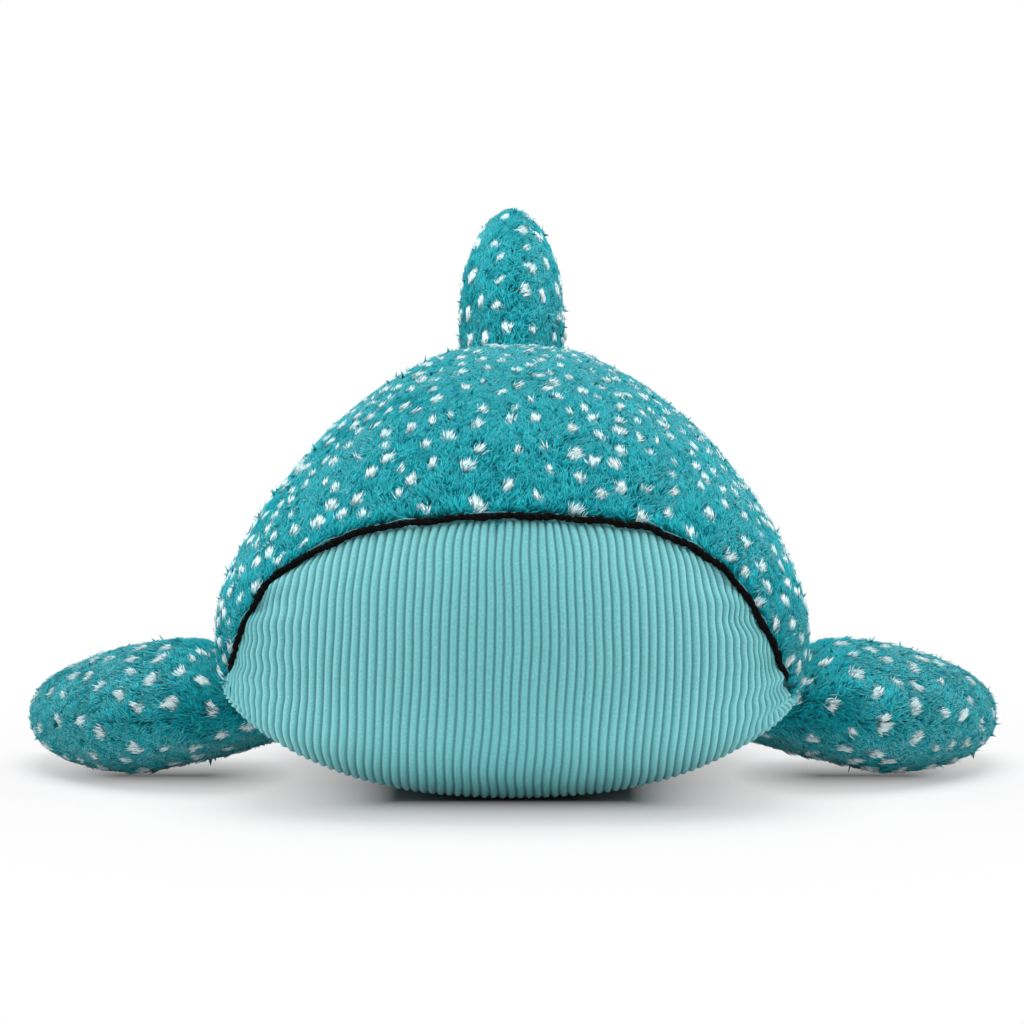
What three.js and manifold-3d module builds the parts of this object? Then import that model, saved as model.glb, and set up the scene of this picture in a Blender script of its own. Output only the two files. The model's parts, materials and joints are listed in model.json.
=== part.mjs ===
// Plush whale shark, lying on its belly. Millimetres, +Z up, nose towards -Y, the toy's left at +X.
// The origin is on the resting surface, below the middle of the toy's length.
// Stations along the body are counted from the nose, and the finished toy is shifted to the origin.
import * as THREE from 'three';
import { mergeVertices } from 'three/addons/utils/BufferGeometryUtils.js';
import Module from 'manifold-3d';

const wasm = await Module();
wasm.setup();

// Body
const headWidth = 220;
const headHeight = 165;
const widestLevel = 57;
const bodyLength = 400;
const faceDepth = 64;
const browDepth = 125;
const chinDepth = 74;
const shoulderStation = 104;
const bellyLiftStation = 150;
const stalkWidth = 34;
const stalkHeight = 46;
const stalkLift = 20;
const noseRoundness = 2.2;
const backRoundness = 1.8;
const bellyRoundness = 2.2;
const restingCut = 0.5;

// Fabrics and seams
const furThickness = 4;
const corduroyThickness = 2;
const seamAllowance = 6;
const turnedThickness = 2.5;
const gap = 0.3;
const jointGap = 0.5;
const stitchWidth = 0.2;

// Mouth and side seams
const mouthHeight = 109;
const mouthCornerStation = 52;
const mouthBrowPull = 13;
const mouthBrowDrop = 4;
const mouthCornerPull = 34;
const sideSeamHeight = 40;
const mouthCordEnd = 0.85;
const mouthCordDiameter = 3.4;

// Eyes
const eyeDiameter = 10;
const eyeHeight = 3.2;
const eyeStation = 118;
const eyeLevel = 64;
const backingThickness = 1.2;
const shankDiameter = 3;
const washerDiameter = 14;
const washerThickness = 1.5;
const shankStandout = 2;

// Pectoral fins
const pectoralSpan = 93;
const pectoralChord = 104;
const pectoralRootChord = 84;
const pectoralThickness = 54;
const pectoralRootThickness = 34;
const pectoralSweep = 46;
const pectoralStation = 116;
const pectoralRoundness = 2.5;
const pectoralDip = 9;
const pectoralLift = 30;
const pectoralDroop = 15;

// Dorsal fin
const dorsalSpan = 99;
const dorsalChord = 92;
const dorsalRootChord = 88;
const dorsalThickness = 50;
const dorsalRootThickness = 36;
const dorsalSweep = 8;
const dorsalStation = 246;
const dorsalRoundness = 2.1;
const dorsalSway = 25;

// Tail stalk and tail fin
const tailLength = 60;
const tailJointRoundness = 1.3;
const tailFinSwing = 30;
const upperLobeSpan = 106;
const upperLobeChord = 56;
const upperLobeSweep = 68;
const lowerLobeSpan = 41;
const lowerLobeChord = 44;
const lowerLobeSweep = 40;
const lobeRootChord = 50;
const lobeThickness = 30;
const lobeRootThickness = 27;
const lobeRoundness = 2.3;
const lobeSetBack = 20;

// Fineness of the surfaces
const bodySides = 24;
const frontRings = 9;
const rearRings = 8;
const endRings = 2;
const finSides = 12;
const finRings = 7;
const roundSides = 12;
const jointSides = 24;
const seamSteps = 9;
const cordPoints = 10;
const mouthSteps = 40;
const cordSides = 6;
const surfaceSides = 90;
const rootSteps = 8;
const swingStep = 4;
const swingReach = 78;
const faceting = 0.02;
const halvings = 40;

const furColour = new THREE.MeshStandardMaterial({ color: 0x23969f, roughness: 0.95, metalness: 0 });
const corduroyColour = new THREE.MeshStandardMaterial({ color: 0x78c8c8, roughness: 0.9, metalness: 0 });
const cordColour = new THREE.MeshStandardMaterial({ color: 0x0c0c0e, roughness: 0.85, metalness: 0 });
const fillingColour = new THREE.MeshStandardMaterial({ color: 0xf3f2ee, roughness: 1, metalness: 0 });
const eyeColour = new THREE.MeshStandardMaterial({ color: 0x060607, roughness: 0.12, metalness: 0 });
const washerColour = new THREE.MeshStandardMaterial({ color: 0xdedede, roughness: 0.5, metalness: 0 });

// A stuffed part's outline rises from its rounded end like a quarter of a superellipse
function roundedRise(distance, reach, roundness) {
  const left = Math.min(1, Math.max(0, 1 - distance / reach));
  return Math.pow(1 - Math.pow(left, roundness), 1 / roundness);
}

// The body draws in smoothly from a station to the stalk: 1 before the station, 0 at the stalk's end
function drawnIn(station, from) {
  const share = THREE.MathUtils.clamp((station - from) / (bodyLength - from), 0, 1);
  return 0.5 * (1 + Math.cos(Math.PI * share));
}

// Half-width, and the heights of the widest level, top and underside, at a station of the body
function bodySection(station) {
  const pastEnd = Math.max(0, station - bodyLength) / (stalkWidth / 2);
  const end = Math.sqrt(Math.max(0, 1 - pastEnd * pastEnd));
  const stalkLevel = stalkLift + stalkHeight / 2;
  const high = drawnIn(station, browDepth);
  const low = drawnIn(station, bellyLiftStation);
  const level = stalkLevel + (widestLevel - stalkLevel) * high;
  const fullWidth = stalkWidth + (headWidth - stalkWidth) * drawnIn(station, shoulderStation);
  const fullRise = stalkHeight / 2 + (headHeight - widestLevel - stalkHeight / 2) * high;
  const fullDrop = level - (stalkLift - (stalkLift + restingCut) * low);
  return {
    level,
    halfWidth: (fullWidth / 2) * roundedRise(station, faceDepth, noseRoundness) * end,
    rise: fullRise * roundedRise(station, browDepth, noseRoundness) * end,
    drop: fullDrop * roundedRise(station, chinDepth, noseRoundness) * end,
  };
}

// How far outside the body a point is: 1 on the surface
function bodyMeasure(x, station, z) {
  const section = bodySection(station);
  const above = z > section.level;
  const roundness = above ? backRoundness : bellyRoundness;
  const reach = above ? section.rise : section.drop;
  const across = Math.pow(Math.abs(x) / section.halfWidth, roundness);
  return across + Math.pow(Math.abs(z - section.level) / reach, roundness);
}

function bodyHalfWidthAt(station, z) {
  const section = bodySection(station);
  const above = z > section.level;
  const roundness = above ? backRoundness : bellyRoundness;
  const reach = above ? section.rise : section.drop;
  const share = Math.min(1, Math.abs(z - section.level) / reach);
  return section.halfWidth * Math.pow(1 - Math.pow(share, roundness), 1 / roundness);
}

function bodyTop(station) {
  const section = bodySection(station);
  return section.level + section.rise;
}

function bodyNormal(x, station, z) {
  const step = 0.01;
  return new THREE.Vector3(
    bodyMeasure(x + step, station, z) - bodyMeasure(x - step, station, z),
    bodyMeasure(x, station + step, z) - bodyMeasure(x, station - step, z),
    bodyMeasure(x, station, z + step) - bodyMeasure(x, station, z - step),
  ).normalize();
}

// A closed surface through rings of points, each end closed on one point, with its faces pointing out
function closedLoft(firstPole, rings, lastPole) {
  const sides = rings[0].length;
  const points = [firstPole, ...rings.flat(), lastPole];
  const last = points.length - 1;
  const triangles = [];
  for (let side = 0; side < sides; side += 1) {
    const next = (side + 1) % sides;
    triangles.push([0, 1 + side, 1 + next]);
    triangles.push([last, last - sides + next, last - sides + side]);
    for (let ring = 0; ring < rings.length - 1; ring += 1) {
      const near = 1 + ring * sides;
      const far = near + sides;
      triangles.push([near + side, far + side, near + next]);
      triangles.push([near + next, far + side, far + next]);
    }
  }
  let volume = 0;
  for (const [a, b, c] of triangles) {
    volume += points[a].dot(new THREE.Vector3().crossVectors(points[b], points[c]));
  }
  const order = volume > 0 ? ([a, b, c]) => [a, b, c] : ([a, b, c]) => [a, c, b];
  const geometry = new THREE.BufferGeometry().setFromPoints(points);
  geometry.setIndex(triangles.flatMap(order));
  return geometry;
}

function ringPoint(angle, halfAcross, rise, drop, roundAbove, roundBelow) {
  const across = Math.cos(angle);
  const up = Math.sin(angle);
  const power = 2 / (up > 0 ? roundAbove : roundBelow);
  return [
    halfAcross * Math.sign(across) * Math.pow(Math.abs(across), power),
    (up > 0 ? rise : drop) * Math.sign(up) * Math.pow(Math.abs(up), power),
  ];
}

// The whole body from nose to stalk end
function bodyForm() {
  const stations = [];
  for (let ring = 1; ring <= frontRings; ring += 1) {
    stations.push(browDepth * (1 - Math.cos((Math.PI / 2) * (ring / frontRings))));
  }
  for (let ring = 1; ring <= rearRings; ring += 1) {
    stations.push(browDepth + (bodyLength - browDepth) * (ring / rearRings));
  }
  for (let ring = 1; ring < endRings; ring += 1) {
    stations.push(bodyLength + (stalkWidth / 2) * Math.sin((Math.PI / 2) * (ring / endRings)));
  }
  const rings = stations.map((station) => {
    const section = bodySection(station);
    const ring = [];
    for (let side = 0; side < bodySides; side += 1) {
      const angle = (2 * Math.PI * side) / bodySides;
      const [x, z] = ringPoint(
        angle, section.halfWidth, section.rise, section.drop, backRoundness, bellyRoundness);
      ring.push(new THREE.Vector3(x, station, section.level + z));
    }
    return ring;
  });
  const end = bodyLength + stalkWidth / 2;
  const nose = new THREE.Vector3(0, 0, bodySection(0).level);
  return closedLoft(nose, rings, new THREE.Vector3(0, end, bodySection(end).level));
}

// A stuffed fin swells from its root and rounds off at its tip: its half chord, half thickness and the
// middle of its chord at a share of its span
function finSection(fin, share) {
  const swell = Math.sin((Math.PI / 2) * Math.min(1, 2 * share));
  const tip = roundedRise(1 - share, 1, fin.roundness);
  return {
    halfChord: (tip * (fin.rootChord + (fin.chord - fin.rootChord) * swell)) / 2,
    halfThickness: (tip * (fin.rootThickness + (fin.thickness - fin.rootThickness) * swell)) / 2,
    middle: fin.sweep * Math.pow(share, 1.5),
  };
}

// Rings crowd towards the tip
function finRingShare(ring) {
  return Math.sin((Math.PI / 2) * (ring / finRings));
}

// The fin's closed form. place() takes a point's distance along the chord, along the span and across
// the thickness, and gives its place on the toy.
function finForm(fin, place) {
  const rings = [];
  const firstRing = fin.rootDepth > 0 ? -1 : 0;
  for (let ring = firstRing; ring < finRings; ring += 1) {
    const share = finRingShare(Math.max(0, ring));
    const outwards = ring < 0 ? -fin.rootDepth : fin.span * share;
    const section = finSection(fin, share);
    const points = [];
    for (let side = 0; side < finSides; side += 1) {
      const angle = (2 * Math.PI * side) / finSides;
      const along = section.middle + section.halfChord * Math.cos(angle);
      points.push(place(along, outwards, section.halfThickness * Math.sin(angle)));
    }
    rings.push(points);
  }
  return closedLoft(place(0, -fin.rootDepth, 0), rings, place(fin.sweep, fin.span, 0));
}

// The same form drawn in, or swelled out by a negative depth, along its surface normals
function drawnInForm(geometry, depth) {
  const form = geometry.clone();
  form.computeVertexNormals();
  const points = form.attributes.position;
  const normals = form.attributes.normal;
  for (let index = 0; index < points.count; index += 1) {
    points.setXYZ(
      index,
      points.getX(index) - depth * normals.getX(index),
      points.getY(index) - depth * normals.getY(index),
      points.getZ(index) - depth * normals.getZ(index),
    );
  }
  return form;
}

function solidOf(geometry) {
  const bare = geometry.clone();
  bare.deleteAttribute('normal');
  bare.deleteAttribute('uv');
  const merged = mergeVertices(bare, 1e-5);
  return new wasm.Manifold(new wasm.Mesh({
    numProp: 3,
    vertProperties: new Float32Array(merged.attributes.position.array),
    triVerts: new Uint32Array(merged.index.array),
  }));
}

// A cut along a curved surface can leave loose flakes, so only the largest body is kept
function geometryOf(solid) {
  const bodies = solid.decompose().sort((a, b) => b.volume() - a.volume());
  const mesh = bodies[0].simplify(faceting).getMesh();
  const geometry = new THREE.BufferGeometry();
  geometry.setAttribute('position', new THREE.BufferAttribute(mesh.vertProperties, 3));
  geometry.setIndex(new THREE.BufferAttribute(mesh.triVerts, 1));
  geometry.computeVertexNormals();
  return geometry;
}

function boxSolid(low, high) {
  const size = new THREE.Vector3().subVectors(high, low);
  const box = new THREE.BoxGeometry(size.x, size.y, size.z);
  box.translate((low.x + high.x) / 2, (low.y + high.y) / 2, (low.z + high.z) / 2);
  return solidOf(box);
}

// An outline drawn in two directions and pushed along the third, centred on its starting point
function prismSolid(outline, origin, right, up, length) {
  const prism = new THREE.ExtrudeGeometry(new THREE.Shape(outline), { depth: length, bevelEnabled: false });
  prism.translate(0, 0, -length / 2);
  const along = new THREE.Vector3().crossVectors(right, up);
  prism.applyMatrix4(new THREE.Matrix4().makeBasis(right, up, along).setPosition(origin));
  return solidOf(prism);
}

function uprightCylinder(radius, station) {
  const cylinder = new THREE.CylinderGeometry(radius, radius, 4 * headHeight, jointSides);
  cylinder.rotateX(Math.PI / 2);
  cylinder.translate(0, station, 0);
  return solidOf(cylinder);
}

const xAxis = new THREE.Vector3(1, 0, 0);
const yAxis = new THREE.Vector3(0, 1, 0);
const zAxis = new THREE.Vector3(0, 0, 1);
const reach = 2 * (headWidth + bodyLength);

// Everything above the resting surface, and each side of the middle
const aboveRest = boxSolid(new THREE.Vector3(-reach, -reach, 0), new THREE.Vector3(reach, reach, reach));
const leftSide = boxSolid(
  new THREE.Vector3(gap / 2, -reach, -reach), new THREE.Vector3(reach, reach, reach));
const rightSide = boxSolid(
  new THREE.Vector3(-reach, -reach, -reach), new THREE.Vector3(-gap / 2, reach, reach));

function stationWhereTopIs(height) {
  let low = 0;
  let high = browDepth;
  for (let round = 0; round < halvings; round += 1) {
    const middle = (low + high) / 2;
    if (bodyTop(middle) < height) {
      low = middle;
    } else {
      high = middle;
    }
  }
  return high;
}

// The seam between fur and corduroy, as stations and heights. Over the mouth it drops from the middle
// of the brow to the corners in one bend, and behind the corners it runs level along both sides.
const mouthTopStation = stationWhereTopIs(mouthHeight);
const mouthSeam = new THREE.CubicBezierCurve(
  new THREE.Vector2(mouthTopStation, mouthHeight),
  new THREE.Vector2(mouthTopStation + mouthBrowPull, mouthHeight - mouthBrowDrop),
  new THREE.Vector2(mouthCornerStation - mouthCornerPull, sideSeamHeight),
  new THREE.Vector2(mouthCornerStation, sideSeamHeight),
);

function seamLine(raise) {
  const line = [new THREE.Vector2(-reach, mouthHeight + raise)];
  for (let step = 0; step <= seamSteps; step += 1) {
    const slope = mouthSeam.getTangent(step / seamSteps);
    const up = new THREE.Vector2(-slope.y, slope.x);
    line.push(mouthSeam.getPoint(step / seamSteps).addScaledVector(up, raise));
  }
  line.push(new THREE.Vector2(reach, sideSeamHeight + raise));
  return line;
}

// Everything above the seam, everything below it, or the slab between two distances from it
function aboveSeamLine(raise) {
  const outline = [...seamLine(raise), new THREE.Vector2(reach, reach), new THREE.Vector2(-reach, reach)];
  return prismSolid(outline, new THREE.Vector3(), yAxis, zAxis, 2 * reach);
}

function belowSeamLine(raise) {
  const outline = [...seamLine(raise), new THREE.Vector2(reach, -reach), new THREE.Vector2(-reach, -reach)];
  return prismSolid(outline, new THREE.Vector3(), yAxis, zAxis, 2 * reach);
}

// The body's form at each depth below its surface
const outerForm = bodyForm();
const outer = solidOf(outerForm).intersect(aboveRest);
const underFur = solidOf(drawnInForm(outerForm, furThickness));
const underCorduroy = solidOf(drawnInForm(outerForm, corduroyThickness))
  .intersect(aboveRest.translate([0, 0, corduroyThickness]));
const underAllowance = solidOf(drawnInForm(outerForm, furThickness + seamAllowance));
const filling = solidOf(drawnInForm(outerForm, furThickness + gap));
const lowFilling = solidOf(drawnInForm(outerForm, corduroyThickness + gap))
  .intersect(aboveRest.translate([0, 0, corduroyThickness + gap]));

// Fur above the seam, corduroy below it. At each seam the fabric turns inwards by the allowance.
const aboveSeam = aboveSeamLine(gap / 2);
const belowSeam = belowSeamLine(-gap / 2);
const middleTurn = boxSolid(
  new THREE.Vector3(-turnedThickness, -reach, -reach), new THREE.Vector3(turnedThickness, reach, reach));
const furTurn = belowSeamLine(turnedThickness);
const corduroyTurn = aboveSeamLine(-corduroyThickness);
const turned = outer.subtract(underAllowance);
const furSkin = outer.subtract(underFur)
  .add(turned.intersect(middleTurn.add(furTurn)))
  .intersect(aboveSeam);
const corduroySkin = outer.subtract(underCorduroy)
  .add(turned.intersect(corduroyTurn))
  .intersect(belowSeam);
const turnRoom = boxSolid(
  new THREE.Vector3(-turnedThickness - gap, -reach, -reach),
  new THREE.Vector3(turnedThickness + gap, reach, reach),
).intersect(aboveSeam)
  .add(aboveSeamLine(-corduroyThickness - gap).intersect(belowSeamLine(turnedThickness + gap)));
const underTurns = solidOf(drawnInForm(outerForm, furThickness + seamAllowance + 2 * gap));
const bodyFilling = filling
  .add(lowFilling.intersect(belowSeamLine(-corduroyThickness)))
  .subtract(turnRoom.subtract(underTurns));

// The tail bends about an upright line. The stalk's front end is round about that line, and it sits in
// a hollow of the same roundness in the body.
const tailJointStation = bodyLength - tailLength;
const tailJointRadius = tailJointRoundness * bodySection(tailJointStation).halfWidth;
const behindTailJoint = boxSolid(
  new THREE.Vector3(-reach, tailJointStation, -reach), new THREE.Vector3(reach, reach, reach));
const tailRoom = uprightCylinder(tailJointRadius, tailJointStation).add(behindTailJoint);
const notBody = uprightCylinder(tailJointRadius + jointGap, tailJointStation).add(behindTailJoint);

// Eyes: a domed button sits in the pile on the fur's backing. Its shank goes through the backing, and a
// washer inside holds it. The seat is counted outwards from the fur's outer surface.
const eyeX = bodyHalfWidthAt(eyeStation, eyeLevel);
const eyeNormal = bodyNormal(eyeX, eyeStation, eyeLevel);
const eyeSeat = backingThickness - furThickness;
const shankEnd = -furThickness - washerThickness - shankStandout;

function turnedPiece(profile, side) {
  const points = profile.map(([radius, height]) => new THREE.Vector2(radius, height));
  const piece = new THREE.LatheGeometry(points, roundSides);
  const direction = eyeNormal.clone();
  direction.x *= side;
  piece.applyQuaternion(new THREE.Quaternion().setFromUnitVectors(yAxis, direction));
  piece.translate(side * eyeX, eyeStation, eyeLevel);
  return solidOf(piece);
}

function eyeButton(side) {
  const profile = [[0, shankEnd]];
  profile.push([shankDiameter / 2, shankEnd]);
  profile.push([shankDiameter / 2, eyeSeat + gap]);
  profile.push([eyeDiameter / 2, eyeSeat + gap]);
  for (let step = 1; step < 4; step += 1) {
    const angle = (Math.PI / 2) * (step / 4);
    profile.push([(eyeDiameter / 2) * Math.cos(angle), eyeSeat + gap + eyeHeight * Math.sin(angle)]);
  }
  profile.push([0, eyeSeat + gap + eyeHeight]);
  return turnedPiece(profile, side);
}

function eyeWasher(side) {
  const bore = shankDiameter / 2 + gap;
  const top = -furThickness;
  const bottom = top - washerThickness;
  const rim = washerDiameter / 2;
  return turnedPiece([[bore, bottom], [rim, bottom], [rim, top], [bore, top], [bore, bottom]], side);
}

// The shank's hole through the backing, and the place that the button takes in the pile
function eyeHole(side) {
  const shank = shankDiameter / 2 + gap;
  const button = eyeDiameter / 2 + gap;
  const depth = furThickness * 2;
  const profile = [[0, -depth], [shank, -depth], [shank, eyeSeat], [button, eyeSeat]];
  return turnedPiece([...profile, [button, depth], [0, depth]], side);
}

// Room for the washer and shank, from inside the filling out to a height
function washerPocket(side, height) {
  const radius = washerDiameter / 2 + gap;
  const bottom = shankEnd - gap;
  return turnedPiece([[0, bottom], [radius, bottom], [radius, height], [0, height]], side);
}

// Black cord sewn over the mouth's seam, from corner to corner
function mouthCord() {
  const points = [];
  for (let step = -cordPoints; step <= cordPoints; step += 1) {
    const share = step / cordPoints;
    const place = mouthSeam.getPoint(mouthCordEnd * share * share);
    const height = Math.min(place.y, bodyTop(place.x));
    const x = Math.sign(step) * bodyHalfWidthAt(place.x, height);
    const out = bodyNormal(x, place.x, height).multiplyScalar(mouthCordDiameter / 2 + gap);
    points.push(new THREE.Vector3(x, place.x, height).add(out));
  }
  const section = new THREE.Shape();
  section.absarc(0, 0, mouthCordDiameter / 2, 0, 2 * Math.PI);
  const tube = new THREE.ExtrudeGeometry(section, {
    steps: mouthSteps,
    curveSegments: cordSides / 2,
    bevelEnabled: false,
    extrudePath: new THREE.CatmullRomCurve3(points),
  });
  return solidOf(tube);
}

// A fin's hinge is the straight line on which it is sewn, a gap off the faceted body
function hingeLine(front, rear, surfaceAt, outward) {
  const start = surfaceAt(front);
  const direction = surfaceAt(rear).sub(start).normalize();
  const across = new THREE.Vector3().crossVectors(direction, outward).normalize();
  const away = new THREE.Vector3().crossVectors(across, direction);
  let lift = 0;
  for (let step = 0; step <= 10; step += 1) {
    const point = surfaceAt(front + ((rear - front) * step) / 10).sub(start);
    lift = Math.max(lift, point.dot(away));
  }
  const pivot = start.addScaledVector(direction, (rear - front) / 2).addScaledVector(away, lift + gap);
  const stitches = [[-1, -1], [1, -1], [1, 1], [-1, 1]].map(([x, y]) => new THREE.Vector2(x, y)
    .multiplyScalar(stitchWidth / 2));
  const spare = prismSolid(stitches, pivot, across, away, rear - front).minGap(outer, headWidth) - gap;
  return { pivot: pivot.addScaledVector(away, -spare), direction, across, away };
}

// The body's surface around a root, a little proud of it, as points to keep clear of
function surfacePoints(front, rear) {
  const points = [];
  for (let step = 0; step <= rootSteps; step += 1) {
    const station = front + ((rear - front) * step) / rootSteps;
    const section = bodySection(station);
    for (let side = 0; side < surfaceSides; side += 1) {
      const angle = (2 * Math.PI * (side + 0.5)) / surfaceSides;
      const [x, z] = ringPoint(
        angle, section.halfWidth, section.rise, section.drop, backRoundness, bellyRoundness);
      const normal = bodyNormal(x, station, section.level + z);
      points.push(new THREE.Vector3(x, station, section.level + z).addScaledVector(normal, 2 * gap));
    }
  }
  return points;
}

// The room that a fin may fill and stay clear of the body as it turns by either range. Seen along the
// hinge, each distance from it has the angle of the body's surface there, raised by the range.
function swingRoom(hinge, obstacles, rangeAcross, rangeBack, shift) {
  const rim = (side, range) => {
    const seen = obstacles.map((point) => {
      const offset = point.clone().sub(hinge.pivot);
      const across = side * offset.dot(hinge.across);
      const away = offset.dot(hinge.away);
      return { radius: Math.hypot(across, away), angle: Math.atan2(away, across) };
    }).filter(({ angle }) => Math.abs(angle) < Math.PI / 2);
    const edge = [];
    for (let radius = swingStep; radius <= swingReach; radius += swingStep) {
      const near = seen.filter((point) => Math.abs(point.radius - radius) <= swingStep / 2);
      if (near.length > 0) {
        const highest = Math.max(...near.map(({ angle }) => angle));
        const angle = highest + THREE.MathUtils.degToRad(range);
        edge.push(new THREE.Vector2(side * radius * Math.cos(angle), radius * Math.sin(angle)));
      }
    }
    return edge;
  };
  const first = rim(1, rangeAcross);
  const second = rim(-1, rangeBack);
  const outline = [
    new THREE.Vector2(0, 0),
    ...first,
    new THREE.Vector2(first[first.length - 1].x, reach),
    new THREE.Vector2(second[second.length - 1].x, reach),
    ...second.reverse(),
  ];
  const origin = hinge.pivot.clone().addScaledVector(hinge.away, shift);
  return prismSolid(outline, origin, hinge.across, hinge.away, 2 * reach);
}

// A fin's skin is fur all round, in two halves with a seam between them, with filling inside
function finPieces(form, room, innerRoom, fillingRoom, firstHalf, secondHalf) {
  const skin = solidOf(form).intersect(room)
    .subtract(solidOf(drawnInForm(form, furThickness)).intersect(innerRoom));
  return {
    first: skin.intersect(firstHalf),
    second: skin.intersect(secondHalf),
    filling: solidOf(drawnInForm(form, furThickness + gap)).intersect(fillingRoom),
  };
}

// Pectoral fins slope down from the line on which they are sewn, so that they lie on the resting
// surface, and turn about that line
const pectoral = {
  span: pectoralSpan,
  chord: pectoralChord,
  rootChord: pectoralRootChord,
  thickness: pectoralThickness,
  rootThickness: pectoralRootThickness,
  sweep: pectoralSweep,
  roundness: pectoralRoundness,
  rootDepth: 0,
};
const dip = THREE.MathUtils.degToRad(pectoralDip);
const pectoralDrops = Array.from({ length: finRings }, (_, ring) => {
  const share = finRingShare(ring);
  return pectoral.span * share * Math.sin(dip) + finSection(pectoral, share).halfThickness * Math.cos(dip);
});
const pectoralLevel = Math.max(...pectoralDrops) - restingCut;
const pectoralFront = pectoralStation - pectoralRootChord / 2;
const pectoralRear = pectoralStation + pectoralRootChord / 2;
const pectoralHinge = hingeLine(
  pectoralFront,
  pectoralRear,
  (station) => new THREE.Vector3(bodyHalfWidthAt(station, pectoralLevel), station, pectoralLevel),
  xAxis,
);

function pectoralPieces() {
  const { pivot, direction, across, away } = pectoralHinge;
  const out = away.clone().multiplyScalar(Math.cos(dip)).addScaledVector(across, Math.sin(dip));
  const over = across.clone().multiplyScalar(Math.cos(dip)).addScaledVector(away, -Math.sin(dip));
  const form = finForm(pectoral, (alongChord, alongSpan, aside) => pivot.clone()
    .addScaledVector(direction, alongChord)
    .addScaledVector(out, alongSpan)
    .addScaledVector(over, aside));
  const obstacles = surfacePoints(pectoralFront, pectoralRear);
  const room = (shift, floor) => swingRoom(pectoralHinge, obstacles, pectoralDroop, pectoralLift, shift)
    .intersect(aboveRest.translate([0, 0, floor]));
  const halfBetween = (low, high) => prismSolid(
    [
      new THREE.Vector2(-reach, low),
      new THREE.Vector2(reach, low),
      new THREE.Vector2(reach, high),
      new THREE.Vector2(-reach, high),
    ],
    pivot, out, over, 2 * reach);
  return finPieces(
    form,
    room(0, 0),
    room(2 * furThickness, furThickness),
    room(2 * (furThickness + gap), furThickness + gap),
    halfBetween(-reach, -gap / 2),
    halfBetween(gap / 2, reach),
  );
}

// The dorsal fin stands on the back and sways to both sides
const dorsalFront = dorsalStation - dorsalRootChord / 2;
const dorsalRear = dorsalStation + dorsalRootChord / 2;
const dorsalHinge = hingeLine(
  dorsalFront,
  dorsalRear,
  (station) => new THREE.Vector3(0, station, bodyTop(station)),
  zAxis,
);

const dorsal = {
  span: dorsalSpan,
  chord: dorsalChord,
  rootChord: dorsalRootChord,
  thickness: dorsalThickness,
  rootThickness: dorsalRootThickness,
  sweep: dorsalSweep,
  roundness: dorsalRoundness,
  rootDepth: 0,
};

function dorsalPieces() {
  const { pivot, direction, across, away } = dorsalHinge;
  const form = finForm(dorsal, (alongChord, alongSpan, aside) => pivot.clone()
    .addScaledVector(direction, alongChord)
    .addScaledVector(away, alongSpan)
    .addScaledVector(across, aside));
  const obstacles = surfacePoints(dorsalFront, dorsalRear);
  const room = (shift) => swingRoom(dorsalHinge, obstacles, dorsalSway, dorsalSway, shift);
  return finPieces(
    form,
    room(0),
    room(2 * furThickness),
    room(2 * (furThickness + gap)),
    leftSide,
    rightSide,
  );
}

// The tail fin has an upper and a lower lobe on one root. It turns about the stalk's round end, in a
// wedge that clears the stalk's sides.
function tailFinPieces() {
  const level = stalkLift + stalkHeight / 2;
  const lobe = (span, chord, sweep, side) => finForm(
    {
      span,
      chord,
      rootChord: lobeRootChord,
      thickness: lobeThickness,
      rootThickness: lobeRootThickness,
      sweep,
      roundness: lobeRoundness,
      rootDepth: lobeRootThickness / 2,
    },
    (along, out, over) => new THREE.Vector3(over, bodyLength + lobeSetBack + along, level + side * out),
  );
  const lobes = [
    lobe(upperLobeSpan, upperLobeChord, upperLobeSweep, 1),
    lobe(lowerLobeSpan, lowerLobeChord, lowerLobeSweep, -1),
  ];
  const both = (depth) => solidOf(drawnInForm(lobes[0], depth)).add(solidOf(drawnInForm(lobes[1], depth)));
  const opening = Math.tan(THREE.MathUtils.degToRad(90 - tailFinSwing));
  const room = (shift) => {
    const wedge = [
      new THREE.Vector2(0, bodyLength + shift),
      new THREE.Vector2(reach, bodyLength + shift + reach / opening),
      new THREE.Vector2(-reach, bodyLength + shift + reach / opening),
    ];
    return prismSolid(wedge, new THREE.Vector3(), xAxis, yAxis, 2 * reach)
      .subtract(uprightCylinder(stalkWidth / 2 + jointGap + shift, bodyLength));
  };
  const skin = both(0).intersect(room(0)).subtract(both(furThickness).intersect(room(furThickness)));
  return {
    first: skin.intersect(leftSide),
    second: skin.intersect(rightSide),
    filling: both(furThickness + gap).intersect(room(furThickness + 2 * gap)),
  };
}

function mirrored(solid) {
  return solid.mirror([1, 0, 0]);
}

const toy = new THREE.Group();

function bodyGroup(pivot) {
  const group = new THREE.Group();
  group.position.copy(pivot);
  toy.add(group);
  return group;
}

function addPiece(group, name, solid, material) {
  const geometry = geometryOf(solid);
  geometry.translate(-group.position.x, -group.position.y, -group.position.z);
  const mesh = new THREE.Mesh(geometry, material);
  mesh.name = name;
  group.add(mesh);
}

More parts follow.
